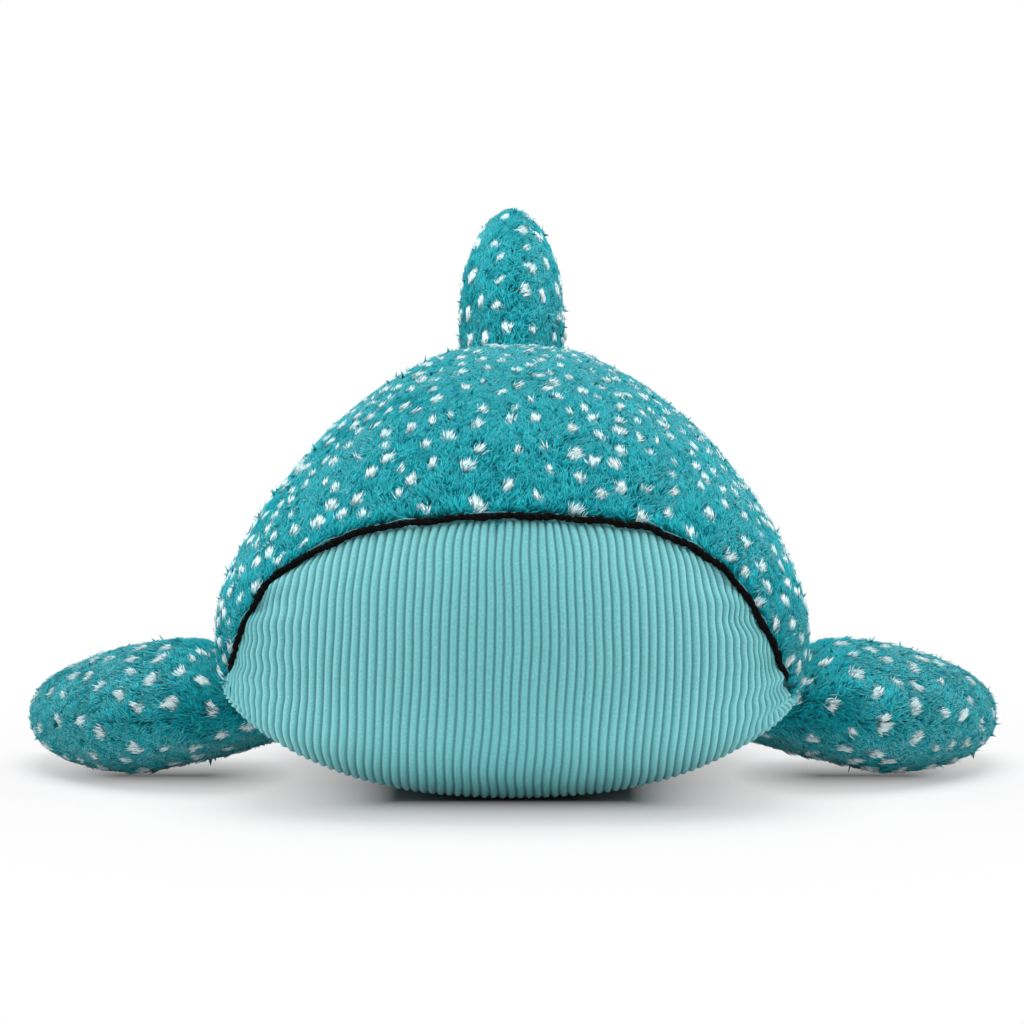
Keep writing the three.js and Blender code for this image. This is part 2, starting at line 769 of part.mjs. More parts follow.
const body = bodyGroup(new THREE.Vector3());
const bodyFur = furSkin.subtract(notBody);
const eyeRoom = (side) => eyeHole(side).add(washerPocket(side, gap - furThickness));
addPiece(body, 'back_fur_left', bodyFur.intersect(leftSide).subtract(eyeRoom(1)), furColour);
addPiece(body, 'back_fur_right', bodyFur.intersect(rightSide).subtract(eyeRoom(-1)), furColour);
addPiece(body, 'belly_corduroy', corduroySkin.subtract(notBody), corduroyColour);
const pockets = washerPocket(1, furThickness).add(washerPocket(-1, furThickness));
addPiece(body, 'body_filling', bodyFilling.subtract(notBody).subtract(pockets), fillingColour);
addPiece(body, 'mouth_cord', mouthCord(), cordColour);
addPiece(body, 'left_eye', eyeButton(1), eyeColour);
addPiece(body, 'right_eye', eyeButton(-1), eyeColour);
addPiece(body, 'left_eye_washer', eyeWasher(1), washerColour);
addPiece(body, 'right_eye_washer', eyeWasher(-1), washerColour);

const pectoralParts = pectoralPieces();
const leftFin = bodyGroup(pectoralHinge.pivot);
addPiece(leftFin, 'left_fin_upper_fur', pectoralParts.first, furColour);
addPiece(leftFin, 'left_fin_lower_fur', pectoralParts.second, furColour);
addPiece(leftFin, 'left_fin_filling', pectoralParts.filling, fillingColour);
const rightPivot = pectoralHinge.pivot.clone();
rightPivot.x *= -1;
const rightFin = bodyGroup(rightPivot);
addPiece(rightFin, 'right_fin_upper_fur', mirrored(pectoralParts.first), furColour);
addPiece(rightFin, 'right_fin_lower_fur', mirrored(pectoralParts.second), furColour);
addPiece(rightFin, 'right_fin_filling', mirrored(pectoralParts.filling), fillingColour);

const dorsalParts = dorsalPieces();
const dorsalFin = bodyGroup(dorsalHinge.pivot);
addPiece(dorsalFin, 'dorsal_fin_left_fur', dorsalParts.first, furColour);
addPiece(dorsalFin, 'dorsal_fin_right_fur', dorsalParts.second, furColour);
addPiece(dorsalFin, 'dorsal_fin_filling', dorsalParts.filling, fillingColour);

const tailPivot = new THREE.Vector3(0, tailJointStation, bodySection(tailJointStation).level);
const tail = bodyGroup(tailPivot);
const tailFur = furSkin.intersect(tailRoom);
addPiece(tail, 'tail_fur_left', tailFur.intersect(leftSide), furColour);
addPiece(tail, 'tail_fur_right', tailFur.intersect(rightSide), furColour);
addPiece(tail, 'tail_corduroy', corduroySkin.intersect(tailRoom), corduroyColour);
addPiece(tail, 'tail_filling', bodyFilling.intersect(tailRoom), fillingColour);

const tailFinPivot = new THREE.Vector3(0, bodyLength, stalkLift + stalkHeight / 2);
const tailFinParts = tailFinPieces();
const tailFin = bodyGroup(tailFinPivot);
addPiece(tailFin, 'tail_fin_left_fur', tailFinParts.first, furColour);
addPiece(tailFin, 'tail_fin_right_fur', tailFinParts.second, furColour);
addPiece(tailFin, 'tail_fin_filling', tailFinParts.filling, fillingColour);

// The origin goes below the middle of the toy's length
const extent = new THREE.Box3().setFromObject(toy);
toy.position.y = -(extent.min.y + extent.max.y) / 2;
toy.updateMatrixWorld(true);

// Hinge lines of the moving parts, in the toy's own frame
toy.userData.hinges = {
  left_fin: { at: leftFin.getWorldPosition(new THREE.Vector3()), along: pectoralHinge.direction },
  dorsal_fin: { at: dorsalFin.getWorldPosition(new THREE.Vector3()), along: dorsalHinge.direction },
  tail: { at: tail.getWorldPosition(new THREE.Vector3()), along: zAxis },
  tail_fin: { at: tailFin.getWorldPosition(new THREE.Vector3()), along: zAxis },
};

export default toy;
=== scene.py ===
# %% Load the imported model
import json
import math

import bmesh
import bpy
import numpy as np
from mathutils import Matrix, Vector
from mathutils.bvhtree import BVHTree
from mathutils.kdtree import KDTree

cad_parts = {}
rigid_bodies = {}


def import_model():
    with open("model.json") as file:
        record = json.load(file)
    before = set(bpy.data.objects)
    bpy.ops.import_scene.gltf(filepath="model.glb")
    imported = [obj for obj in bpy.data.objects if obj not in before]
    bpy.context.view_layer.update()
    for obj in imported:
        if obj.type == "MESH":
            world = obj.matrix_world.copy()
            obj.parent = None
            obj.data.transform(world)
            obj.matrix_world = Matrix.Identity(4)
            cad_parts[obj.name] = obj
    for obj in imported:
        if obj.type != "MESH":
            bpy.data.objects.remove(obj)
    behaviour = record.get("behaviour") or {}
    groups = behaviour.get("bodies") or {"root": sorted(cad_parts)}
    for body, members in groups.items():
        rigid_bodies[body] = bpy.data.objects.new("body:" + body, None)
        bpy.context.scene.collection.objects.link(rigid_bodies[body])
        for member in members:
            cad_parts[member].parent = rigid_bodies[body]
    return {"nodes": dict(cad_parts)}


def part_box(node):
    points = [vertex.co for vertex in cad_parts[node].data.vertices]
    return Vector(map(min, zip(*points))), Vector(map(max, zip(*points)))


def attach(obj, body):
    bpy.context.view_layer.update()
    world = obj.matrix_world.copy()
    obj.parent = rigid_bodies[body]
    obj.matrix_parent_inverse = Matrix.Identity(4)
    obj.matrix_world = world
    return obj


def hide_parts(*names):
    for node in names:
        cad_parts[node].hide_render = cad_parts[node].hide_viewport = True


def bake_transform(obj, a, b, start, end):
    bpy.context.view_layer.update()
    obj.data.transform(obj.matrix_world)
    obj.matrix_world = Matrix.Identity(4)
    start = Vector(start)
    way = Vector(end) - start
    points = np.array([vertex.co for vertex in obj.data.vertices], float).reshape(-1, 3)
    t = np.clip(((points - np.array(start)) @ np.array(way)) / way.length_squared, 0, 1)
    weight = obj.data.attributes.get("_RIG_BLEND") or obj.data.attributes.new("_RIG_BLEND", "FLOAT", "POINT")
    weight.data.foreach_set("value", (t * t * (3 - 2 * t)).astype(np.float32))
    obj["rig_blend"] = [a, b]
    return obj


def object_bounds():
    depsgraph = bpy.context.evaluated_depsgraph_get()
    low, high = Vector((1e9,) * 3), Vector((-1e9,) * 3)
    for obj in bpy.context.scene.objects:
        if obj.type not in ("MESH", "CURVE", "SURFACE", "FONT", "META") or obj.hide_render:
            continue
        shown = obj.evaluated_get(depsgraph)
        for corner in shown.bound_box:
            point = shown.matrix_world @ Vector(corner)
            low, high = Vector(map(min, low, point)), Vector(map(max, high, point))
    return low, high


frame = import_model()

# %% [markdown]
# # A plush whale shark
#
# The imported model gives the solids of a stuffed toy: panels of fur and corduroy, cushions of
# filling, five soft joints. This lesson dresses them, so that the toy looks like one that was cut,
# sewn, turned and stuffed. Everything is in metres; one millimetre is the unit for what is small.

MM = 0.001
cad_low, cad_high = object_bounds()
nose_y = cad_low.y
nodes = frame["nodes"]
print("the CAD model measures", [round(side / MM, 1) for side in cad_high - cad_low], "mm")

# %% [markdown]
# ## The camera
#
# The toy was photographed from straight in front, a little above the floor. A long lens keeps the
# fins from growing beside the head. There is no depth of field, so every rib stays sharp.

# %% Camera
view_distance = 1.5
view_height = math.radians(5.0)
looked_at = Vector((0.0, nose_y + 90 * MM, 104 * MM))
away_from_toy = Vector((0.0, -math.cos(view_height), math.sin(view_height)))
bpy.ops.object.camera_add(
    location=looked_at + view_distance * away_from_toy,
    rotation=(math.radians(90) - view_height, 0.0, 0.0),
)
camera = bpy.context.object
camera.data.sensor_width = 36
camera.data.lens = 142.4
camera.data.shift_x = -0.001
bpy.context.scene.camera = camera
print("camera at", [round(value, 3) for value in camera.location])

# %% [markdown]
# ## Shader sums in plain Python
#
# A sum written as nodes is hard to read. This class holds one output of a material's nodes, and
# Python's own signs on it add Math nodes. Its method `node` adds any other node.

# %% A wrapped socket
class Socket:
    """One output of a material's nodes. Sums on it are worked out by Math nodes."""

    def __init__(self, tree, output=None):
        self.tree = tree
        self.output = output

    def node(self, kind, settings=None, sockets=None, output=0):
        """Adds a node with its settings, then its values or links, and gives one output."""
        made = self.tree.nodes.new("ShaderNode" + kind)
        for name, value in (settings or {}).items():
            setattr(made, name, value)
        for name, value in (sockets or {}).items():
            if isinstance(value, Socket):
                self.tree.links.new(value.output, made.inputs[name])
            else:
                made.inputs[name].default_value = value
        return Socket(self.tree, made.outputs[output])

    def maths(self, operation, *values):
        return self.node("Math", {"operation": operation}, dict(enumerate(values)))

    def kept(self, name):
        """A number that the mesh keeps for every vertex."""
        return self.node("Attribute", {"attribute_name": name}, output=2)

    def __add__(self, other):
        return self.maths("ADD", self, other)

    def __sub__(self, other):
        return self.maths("SUBTRACT", self, other)

    def __rsub__(self, other):
        return self.maths("SUBTRACT", other, self)

    def __mul__(self, other):
        return self.maths("MULTIPLY", self, other)

    def __pow__(self, other):
        return self.maths("POWER", self, other)

    __radd__ = __add__
    __rmul__ = __mul__


# %% Helpers for finishes
def paint(red, green, blue):
    """A colour as a picture shows it, 0 to 255, as Blender's linear numbers."""
    linear = []
    for value in (red, green, blue):
        share = value / 255
        linear.append(share / 12.92 if share <= 0.04045 else ((share + 0.055) / 1.055) ** 2.4)
    return (*linear, 1.0)


def new_finish(name, constants):
    """A material, the start of its sums, and its shader with some sockets set for good."""
    material = bpy.data.materials.new(name)
    material.use_nodes = True
    shader = material.node_tree.nodes["Principled BSDF"]
    for socket, value in constants.items():
        shader.inputs[socket].default_value = value
    return material, Socket(material.node_tree), shader


def mixed(share, first, second):
    """A colour between two others."""
    start = next(part for part in (share, first, second) if isinstance(part, Socket))
    return start.node("Mix", {"data_type": "RGBA"}, {0: share, 6: first, 7: second}, output=2)


def feed(shader, socket, value):
    """Links a sum to a socket of the shader."""
    value.tree.links.new(value.output, shader.inputs[socket])


def roughen(shader, height, distance, strength):
    """Bumps that follow a sum."""
    sockets = {"Height": height, "Distance": distance, "Strength": strength}
    feed(shader, "Normal", height.node("Bump", {}, sockets))


def grain(start, place, size, detail=2.0):
    """Noise from about 0 to 1, whose spots are that many metres wide."""
    return start.node("TexNoise", {}, {"Vector": place, "Scale": 1 / size, "Detail": detail})


def speckled(name, constants, size, detail, colours, rough, bumps=None):
    """A finish of one noise: two colours, least roughness and its spread, bump height and strength."""
    material, start, shader = new_finish(name, constants)
    noise = grain(start, start.node("TexCoord", output=3), size, detail)
    feed(shader, "Base Color", mixed(noise, *colours))
    feed(shader, "Roughness", rough[0] + rough[1] * noise)
    if bumps:
        roughen(shader, noise, *bumps)
    return material


# %% [markdown]
# ## Floor and light
#
# The toy stands on white paper under soft studio light. A plane that fades to white away from the
# toy gives the paper and keeps the real shadow near it. Near where the belly and fins touch it, the camera
# sees a darker paper as well, a painted shadow that deepens the real one. What only the camera sees,
# the white and the darker paper, is set through Light Path, so that it adds no light to the fur.

# %% Paper floor
belly_from = nose_y + 67 * MM
belly_to = -0.03
belly_half = 43 * MM
fins_y = nose_y + 127 * MM
fins_from = 118 * MM
fins_to = 150 * MM
fins_above = 5 * MM
# How deep the painted shadow round the contacts is.
shade = 0.52
near_reach = 0.026
wide_reach = 0.114
bpy.ops.object.select_all(action="DESELECT")
bpy.ops.mesh.primitive_plane_add(size=8, location=(0, 0, -0.2 * MM))
paper = bpy.context.object
paper.name = "paper_floor"
bpy.ops.object.transform_apply(location=True)
paper_finish, start, shader = new_finish("white paper", {"Roughness": 1.0, "Specular IOR Level": 0.0})
place = start.node("TexCoord", output=3)
sideways, onward = (start.node("SeparateXYZ", {}, {0: place}, output=axis) for axis in (0, 1))


def outside(value, low, high):
    """How far a coordinate lies outside a stretch."""
    return value - value.maths("MINIMUM", value.maths("MAXIMUM", value, low), high)


def length_of(first, second):
    """The length of a flat vector."""
    return (first * first + second * second) ** 0.5


beside_fins = outside(sideways.maths("ABSOLUTE", sideways), fins_from, fins_to)
beside_belly = outside(sideways, -belly_half, belly_half)
from_belly = length_of(beside_belly, outside(onward, belly_from, belly_to))
from_fins = length_of(beside_fins, onward - fins_y) + fins_above
away = start.maths("MINIMUM", from_belly, from_fins)
# Painted shadow: the white fades out near the belly and fins, so the darker paper shows there.
near_dark = shade * start.maths("EXPONENT", away * (-1 / near_reach))
wide_dark = shade * start.maths("EXPONENT", away * (-1 / wide_reach))
fade = start.maths("MINIMUM", 1.04 - near_dark - wide_dark, 1.0)
seen = start.node("LightPath", output="Is Camera Ray")
fleck = grain(start, place, 0.5 * MM)
sheet = mixed(fleck * 0.2, paint(242, 240, 240), paint(234, 232, 232))
# The paper as the camera sees it, darker than the paper that lights the toy: painted shade under the white
# fade.
shaded_sheet = mixed(fleck * 0.2, paint(190, 189, 191), paint(184, 183, 185))
feed(shader, "Base Color", mixed(seen, sheet, shaded_sheet))
white = start.node("Emission", {}, {"Color": (1, 1, 1, 1), "Strength": 1.0})
lit_paper = Socket(start.tree, shader.outputs[0])
joined = start.node("MixShader", {}, {0: fade * seen, 1: lit_paper, 2: white})
start.tree.links.new(joined.output, start.tree.nodes["Material Output"].inputs["Surface"])
paper.data.materials.append(paper_finish)
print("the paper is", round(paper.dimensions.x, 2), "m wide")

# %% World and lamps
scene = bpy.context.scene
scene.view_settings.view_transform = "Standard"
world = bpy.data.worlds.new("studio")
scene.world = world
world.use_nodes = True
rays = world.node_tree.nodes.new("ShaderNodeLightPath").outputs
direct, mirrored, through = (
    Socket(world.node_tree, rays[f"Is {kind} Ray"]) for kind in ("Camera", "Glossy", "Transmission")
)
plain = direct.maths("MINIMUM", direct + mirrored + through, 1.0)
ambient_strength = 0.34
backdrop = world.node_tree.nodes["Background"]
backdrop.inputs["Color"].default_value = (1, 1, 1, 1)
feed(backdrop, "Strength", ambient_strength + (1 - ambient_strength) * plain)


def softbox(name, place, aim, size, watts):
    """A square lamp that looks at a point."""
    bpy.ops.object.light_add(type="AREA", location=place)
    lamp = bpy.context.object
    lamp.name = name
    lamp.data.size = size
    lamp.data.energy = watts
    lamp.rotation_euler = (Vector(aim) - Vector(place)).to_track_quat("-Z", "Y").to_euler()


softbox("lamp_above", (0.0, -0.1, 1.7), (0, -0.05, 0.1), 1.3, 44)
softbox("lamp_left", (-1.8, -0.35, 0.9), (0, -0.1, 0.1), 1.0, 9.5)
softbox("lamp_right", (1.8, -0.35, 0.9), (0, -0.1, 0.1), 1.0, 9)

# %% [markdown]
# ## Stuffed forms
#
# A stuffed toy is a closed skin that its filling pushes outwards, while the seams hold it back.
# It could be drawn by hand, but the swelling between seams is hard to guess. So the solids of
# each part are joined, a voxel remesh makes one even skin of them, and a cloth simulation with
# air pressure inside swells it, while its seams are pinned. A cap keeps every point near the
# shape that was packed.

# %% Reading and making meshes
def pick(*objects):
    """Selects these objects and no other, and makes the last one active."""
    bpy.ops.object.select_all(action="DESELECT")
    for obj in objects:
        obj.select_set(True)
    bpy.context.view_layer.objects.active = objects[-1]


def apply(obj, kind, **settings):
    """Adds a modifier with these settings and applies it."""
    pick(obj)
    modifier = obj.modifiers.new("step", kind)
    for name, value in settings.items():
        setattr(modifier, name, value)
    bpy.ops.object.modifier_apply(modifier=modifier.name)


def copy_of(obj, name):
    """The object once more, with a mesh of its own."""
    made = obj.copy()
    made.data = obj.data.copy()
    made.name = name
    made.data.name = name
    scene.collection.objects.link(made)
    return made


def points_of(obj, what="co"):
    """Every vertex's place or normal, one row each."""
    values = np.empty(3 * len(obj.data.vertices))
    obj.data.vertices.foreach_get(what, values)
    return values.reshape(-1, 3)


def put_points(obj, points):
    """Moves every vertex to its new place."""
    obj.data.vertices.foreach_set("co", points.ravel())
    obj.data.update()


def triangles_of(obj):
    """Corner numbers of the triangles, one row each."""
    obj.data.calc_loop_triangles()
    corners = np.empty(3 * len(obj.data.loop_triangles), dtype=np.int32)
    obj.data.loop_triangles.foreach_get("vertices", corners)
    return corners.reshape(-1, 3)


def tree_of(obj):
    """A tree of the object's faces, for rays and nearest points."""
    return BVHTree.FromPolygons(points_of(obj).tolist(), triangles_of(obj).tolist())


# %% From solids to one skin
def one_skin(name, names, voxel, smoothing):
    """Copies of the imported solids, joined and remeshed to one smooth closed skin."""
    skin = bpy.data.objects.new(name, bpy.data.meshes.new(name))
    scene.collection.objects.link(skin)
    pick(*[nodes[part] for part in names])
    bpy.ops.object.duplicate()
    bpy.ops.object.parent_clear(type="CLEAR_KEEP_TRANSFORM")
    skin.select_set(True)
    bpy.context.view_layer.objects.active = skin
    bpy.ops.object.join()
    skin.data.materials.clear()
    apply(skin, "REMESH", mode="VOXEL", voxel_size=voxel)
    apply(skin, "SMOOTH", factor=0.5, iterations=smoothing)
    bpy.ops.object.shade_smooth()
    return skin


# %% Swelling under pressure
def swell(skin, held, cap, pressure=4.0, frames=20):
    """Fills the skin with air for some frames. held is 1 where a seam holds a vertex."""
    before = points_of(skin)
    pins = skin.vertex_groups.new(name="seams")
    for level in range(1, 11):
        chosen = np.nonzero(np.round(held * 10) == level)[0]
        pins.add(chosen.tolist(), level / 10, "REPLACE")
    cloth = skin.modifiers.new("filling", "CLOTH")
    cloth.settings.vertex_group_mass = "seams"
    cloth.settings.use_pressure = True
    cloth.settings.uniform_pressure_force = pressure
    cloth.settings.effector_weights.gravity = 0
    cloth.point_cache.frame_start = 1
    cloth.point_cache.frame_end = frames
    for number in range(1, frames + 1):
        scene.frame_set(number)
    pick(skin)
    bpy.ops.object.modifier_apply(modifier=cloth.name)
    scene.frame_set(1)
    moved = points_of(skin) - before
    length = np.linalg.norm(moved, axis=1, keepdims=True)
    put_points(skin, before + moved * np.minimum(1, cap / np.maximum(length, 1e-9)))
    skin.vertex_groups.clear()
    print(skin.name, "swelled by", round(float(np.minimum(length, cap).max()) / MM, 1), "mm")


# %% [markdown]
# ## The body's seams
#
# Three panels meet on the body: two of fur and one of corduroy. In side view the seam between fur
# and corduroy comes down from the top of the mouth to its corner and runs straight back to the
# tail. The two fur panels meet along the middle of the back. A point's distance from the side seam
# tells whether it is on fur or on corduroy.

# %% The body's skin
body_skin = one_skin(
    "body_form",
    ["back_fur_left", "back_fur_right", "belly_corduroy", "body_filling"]
    + ["tail_fur_left", "tail_fur_right", "tail_corduroy", "tail_filling"],
    voxel=4 * MM,
    smoothing=50,
)
puffed = points_of(body_skin) + 1.2 * MM * points_of(body_skin, "normal")
put_points(body_skin, puffed)
print("body skin:", len(puffed), "vertices,", "lowest", round(puffed[:, 2].min() / MM, 2), "mm")

# %% The mouth and side seam
mouth_height = 109 * MM
corner = Vector((nose_y + 52 * MM, 40 * MM))
beside_middle = 0.13 * MM
inside = Vector((beside_middle, looked_at.y, mouth_height))
front_hit = tree_of(body_skin).ray_cast(inside, Vector((0, -1, 0)))[0]
mouth_top = Vector((front_hit.y, mouth_height))
pulls = [mouth_top, mouth_top + Vector((13 * MM, -4 * MM)), corner - Vector((34 * MM, 0)), corner]
shares = np.linspace(0, 1, 60)[:, None]
weights = [(1 - shares) ** 3, 3 * shares * (1 - shares) ** 2, 3 * shares**2 * (1 - shares), shares**3]
mouth_line = sum(weight * np.array(pull) for weight, pull in zip(weights, pulls))
ahead = np.array([mouth_top - Vector((26 * MM, -8 * MM))])
behind = np.array([[0.25, corner.y]])
seam_line = np.concatenate([ahead, mouth_line, behind])

# How much further back the seam lies than on the pattern, at these heights in millimetres.
drawn_right = ([40, 58, 86, 92, 98, 109], [9, 6, 7, 5.4, 4.8, 0])
drawn_left = ([68, 90, 104, 109], [0, 2.3, 2.1, 0])


def above_seam(points):
    """Distance from the seam in side view: positive on the fur, negative on the corduroy."""
    height = points[:, 2] / MM
    drawn = np.where(points[:, 0] < 0, np.interp(height, *drawn_right), np.interp(height, *drawn_left))
    flat = points[:, 1:] - np.stack([drawn * MM, np.zeros(len(points))], axis=1)
    nearest = np.full(len(points), 1e9)
    for first, last in zip(seam_line[:-1], seam_line[1:]):
        along = last - first
        share = np.clip((flat - first) @ along / (along @ along), 0, 1)
        gap = np.linalg.norm(flat - first - share[:, None] * along, axis=1)
        nearest = np.minimum(nearest, gap)
    line_y = np.interp(-flat[:, 1], -mouth_line[:, 1], mouth_line[:, 0])
    over = (flat[:, 1] > mouth_height) | ((flat[:, 1] > corner.y) & (flat[:, 0] > line_y))
    return np.where(over, nearest, -nearest)


print("the mouth's top is", round((mouth_top.x - nose_y) / MM, 1), "mm behind the nose")

# %% Smooth steps and hills
def ease(values):
    """A smooth step from 0 to 1."""
    held = np.clip(values, 0, 1)
    return held * held * (3 - 2 * held)


def hill(values, centre, width):
    """A round hill, one high, over a centre."""
    return np.exp(-(((values - centre) / width) ** 2))


# %% Stuffing the body
turn_y = nose_y + 90 * MM
turn_z = 57 * MM
points = points_of(body_skin)
above = above_seam(points)
middle_gap = np.where(above > 0, np.abs(points[:, 0]), 1.0)
held_body = np.maximum(1 - np.abs(above) / (5 * MM), 1 - middle_gap / (4 * MM)).clip(0, 1)
swell(body_skin, held_body, cap=3.0 * MM)
points = points_of(body_skin)
x, y, z = points.T
forward = 1 - ease((y - turn_y) / (120 * MM))
z -= z.min() * (1 - ease(z / (45 * MM)))
x *= 1 - 0.035 * hill(z, 16 * MM, 13 * MM) * forward
x += (0.5 * MM - 0.013 * x) * hill(z, 128 * MM, 24 * MM)
x += (0.011 * x - 0.45 * MM) * hill(z, 76 * MM, 20 * MM) * forward
shoulders = hill(np.abs(x), 28 * MM, 18 * MM)
z += (1.1 + 1.5 * shoulders) * MM * ease((z - 112 * MM) / (36 * MM))
z[:] = np.maximum(z, 0.2 * MM)
put_points(body_skin, points)
forms = {"body": copy_of(body_skin, "body_coarse")}
scraps = [body_skin]
apply(body_skin, "SUBSURF", levels=1, render_levels=1)
body_tree = tree_of(body_skin)
print("stuffed body:", [round(side / MM, 1) for side in body_skin.dimensions], "mm")

# %% [markdown]
# ## The corduroy belly
#
# Corduroy is a velour whose pile stands in rows. Each rib here is a bit over three millimetres
# wide, thick and round, with a narrow dark groove beside it, and follows the cloth from the mouth
# down and back under the belly. A bump map would look flat at the mouth, so each rib is modelled.
# Rays from inside the body find its skin, section after section, and the cloth is laid on it with
# every rib at its own distance from the middle.

# %% Sections of the belly
belly_end = 0.166
angles = np.concatenate([np.linspace(-37, -30, 17), np.linspace(-29, 55, 88), np.linspace(56.5, 89, 23)])
sections = [(turn_y, turn_z, math.radians(angle)) for angle in angles]
sections += [
    (back, turn_z - 14 * MM * (back - turn_y) / (belly_end - turn_y), math.radians(90))
    for back in np.linspace(turn_y, belly_end, 64)
]
slants = np.radians(np.linspace(0, 125, 84))


def half_section(y, z, angle, side):
    """Points on the skin from the middle outwards, in one slanting section."""
    down = Vector((0, -math.cos(angle), -math.sin(angle)))
    origin = Vector((side * beside_middle, y, z))
    found = []
    for slant in slants:
        aim = math.cos(slant) * down + Vector((side * math.sin(slant), 0, 0))
        hit = body_tree.ray_cast(origin, aim)[0]
        found.append(hit if hit is not None else found[-1])
    return np.array(found)


halves = [np.array([half_section(*section, side) for section in sections]) for side in (-1, 1)]
print(len(sections), "sections of", 2 * len(slants), "points")

# %% Sums along lines
def unit(rows):
    """The same directions with a length of one."""
    return rows / np.maximum(np.linalg.norm(rows, axis=1, keepdims=True), 1e-12)


def lengths_along(places):
    """How far along a line each of its points lies."""
    return np.concatenate([[0], np.cumsum(np.linalg.norm(np.diff(places, axis=0), axis=1))])


def on_line(at, marks, rows):
    """The row, or rows, that lie at a length along a line."""
    return np.array([np.interp(at, marks, rows[:, axis]) for axis in range(3)]).T


def wander(places, wavelength, seed):
    """A smooth field between about -1 and 1: six waves in directions of their own."""
    draw = np.random.default_rng(seed)
    turns = draw.normal(size=(6, places.shape[1]))
    turns *= draw.uniform(0.7, 1.4, 6)[:, None] / np.linalg.norm(turns, axis=1, keepdims=True)
    waves = np.sin(places @ turns.T * (2 * math.pi / wavelength) + draw.uniform(0, 6.3, 6))
    return waves.sum(axis=1) / 2.6


# %% Where each rib starts and ends
def measured(half):
    """Each point's distance from the middle along the cloth, and the distance of the seam."""
    steps = np.linalg.norm(np.diff(half, axis=1), axis=2)
    gone = np.concatenate([np.zeros((len(half), 1)), np.cumsum(steps, axis=1)], axis=1) + beside_middle
    height = above_seam(half.reshape(-1, 3)).reshape(gone.shape)
    edge = np.zeros(len(half))
    for row in range(len(half)):
        over = np.nonzero(height[row] > 0)[0]
        if len(over) and over[0] > 0:
            pair = slice(over[0] - 1, over[0] + 1)
            edge[row] = np.interp(0, height[row, pair], gone[row, pair])
    return gone, edge


rib_pitch = 3.2 * MM
(right_gone, right_edge), (left_gone, left_edge) = measured(halves[0]), measured(halves[1])
belt = np.concatenate([halves[0][:, ::-1], halves[1]], axis=1)
belt_across = np.concatenate([-right_gone[:, ::-1], left_gone], axis=1)
lengthwise = lengths_along(halves[1][:, 0])
rib_count = int(max(right_edge.max(), left_edge.max()) / rib_pitch) + 1
print(2 * rib_count, "ribs, the longest", round(lengthwise[-1] / MM), "mm long")

# %% One rib's line over the belly
pucker_reach = 20 * MM
pucker_wave = 17 * MM
gathered = 3.6 * MM
in_front = ease((150 * MM - lengthwise) / (50 * MM))


def at_distance(distance):
    """The point of every section that lies this far from the middle, left positive."""
    return np.array([on_line(reach, line, row) for reach, line, row in zip(distance, belt_across, belt)])


def rib_line(distance):
    """Points, outward normals and both ends of a line along the cloth."""
    side = 1 if distance >= 0 else -1
    edge = left_edge if distance >= 0 else right_edge
    reach = abs(distance)
    at_seam = reach - gathered * ease(reach / (24 * MM))
    inside = np.nonzero(edge > max(reach, 0.2 * MM))[0]
    if len(inside) < 2:
        return None
    first, last = np.nonzero(edge > max(at_seam, 0.2 * MM))[0][0], inside[-1]
    begin = np.interp(at_seam, edge[first - 1 : first + 1], lengthwise[first - 1 : first + 1])
    end = lengthwise[last]
    if last + 1 < len(edge):
        end = np.interp(-reach, -edge[last : last + 2], lengthwise[last : last + 2])
    below = np.maximum(lengthwise - begin, 0)
    free = ease(2 * below / MM)
    drawn = (at_seam - reach) * np.exp(-below / (13 * MM))
    fuller = 1.7 * MM * (reach / (90 * MM)) ** 2 * (1 - np.exp(-below / (26 * MM)))
    fuller = fuller * ease((edge - reach) / (12 * MM)) * in_front
    rows = np.stack([np.full(len(lengthwise), distance), lengthwise], axis=1)
    sway = 0.25 * MM * wander(rows, 40 * MM, 3)
    sway = sway + 0.35 * MM * wander(rows, 24 * MM, 6) * np.exp(-below / (25 * MM))
    sway = sway - 2.3 * MM * ease((lengthwise - 50 * MM) / (60 * MM))
    near = np.exp(-np.maximum(edge - reach, 0) / pucker_reach)
    near = near * ease((reach - 58 * MM) / (28 * MM)) * in_front
    folds = np.stack([0.35 * rows[:, 0], lengthwise], axis=1)
    bent = 1.7 * MM * near * wander(folds, pucker_wave, 4) * free
    place = distance + side * (drawn + fuller + bent) + sway * free
    laid = at_distance(place)
    normals = unit(np.cross(np.gradient(laid, axis=0), at_distance(place + 1.2 * MM) - laid))
    laid = laid + normals * (0.9 * MM * near * wander(folds, pucker_wave, 5))[:, None]
    return laid, normals, begin, end


probe = rib_line(20 * MM)
print("a line 20 mm from the middle starts at", [round(value / MM, 1) for value in probe[2:]], "mm")

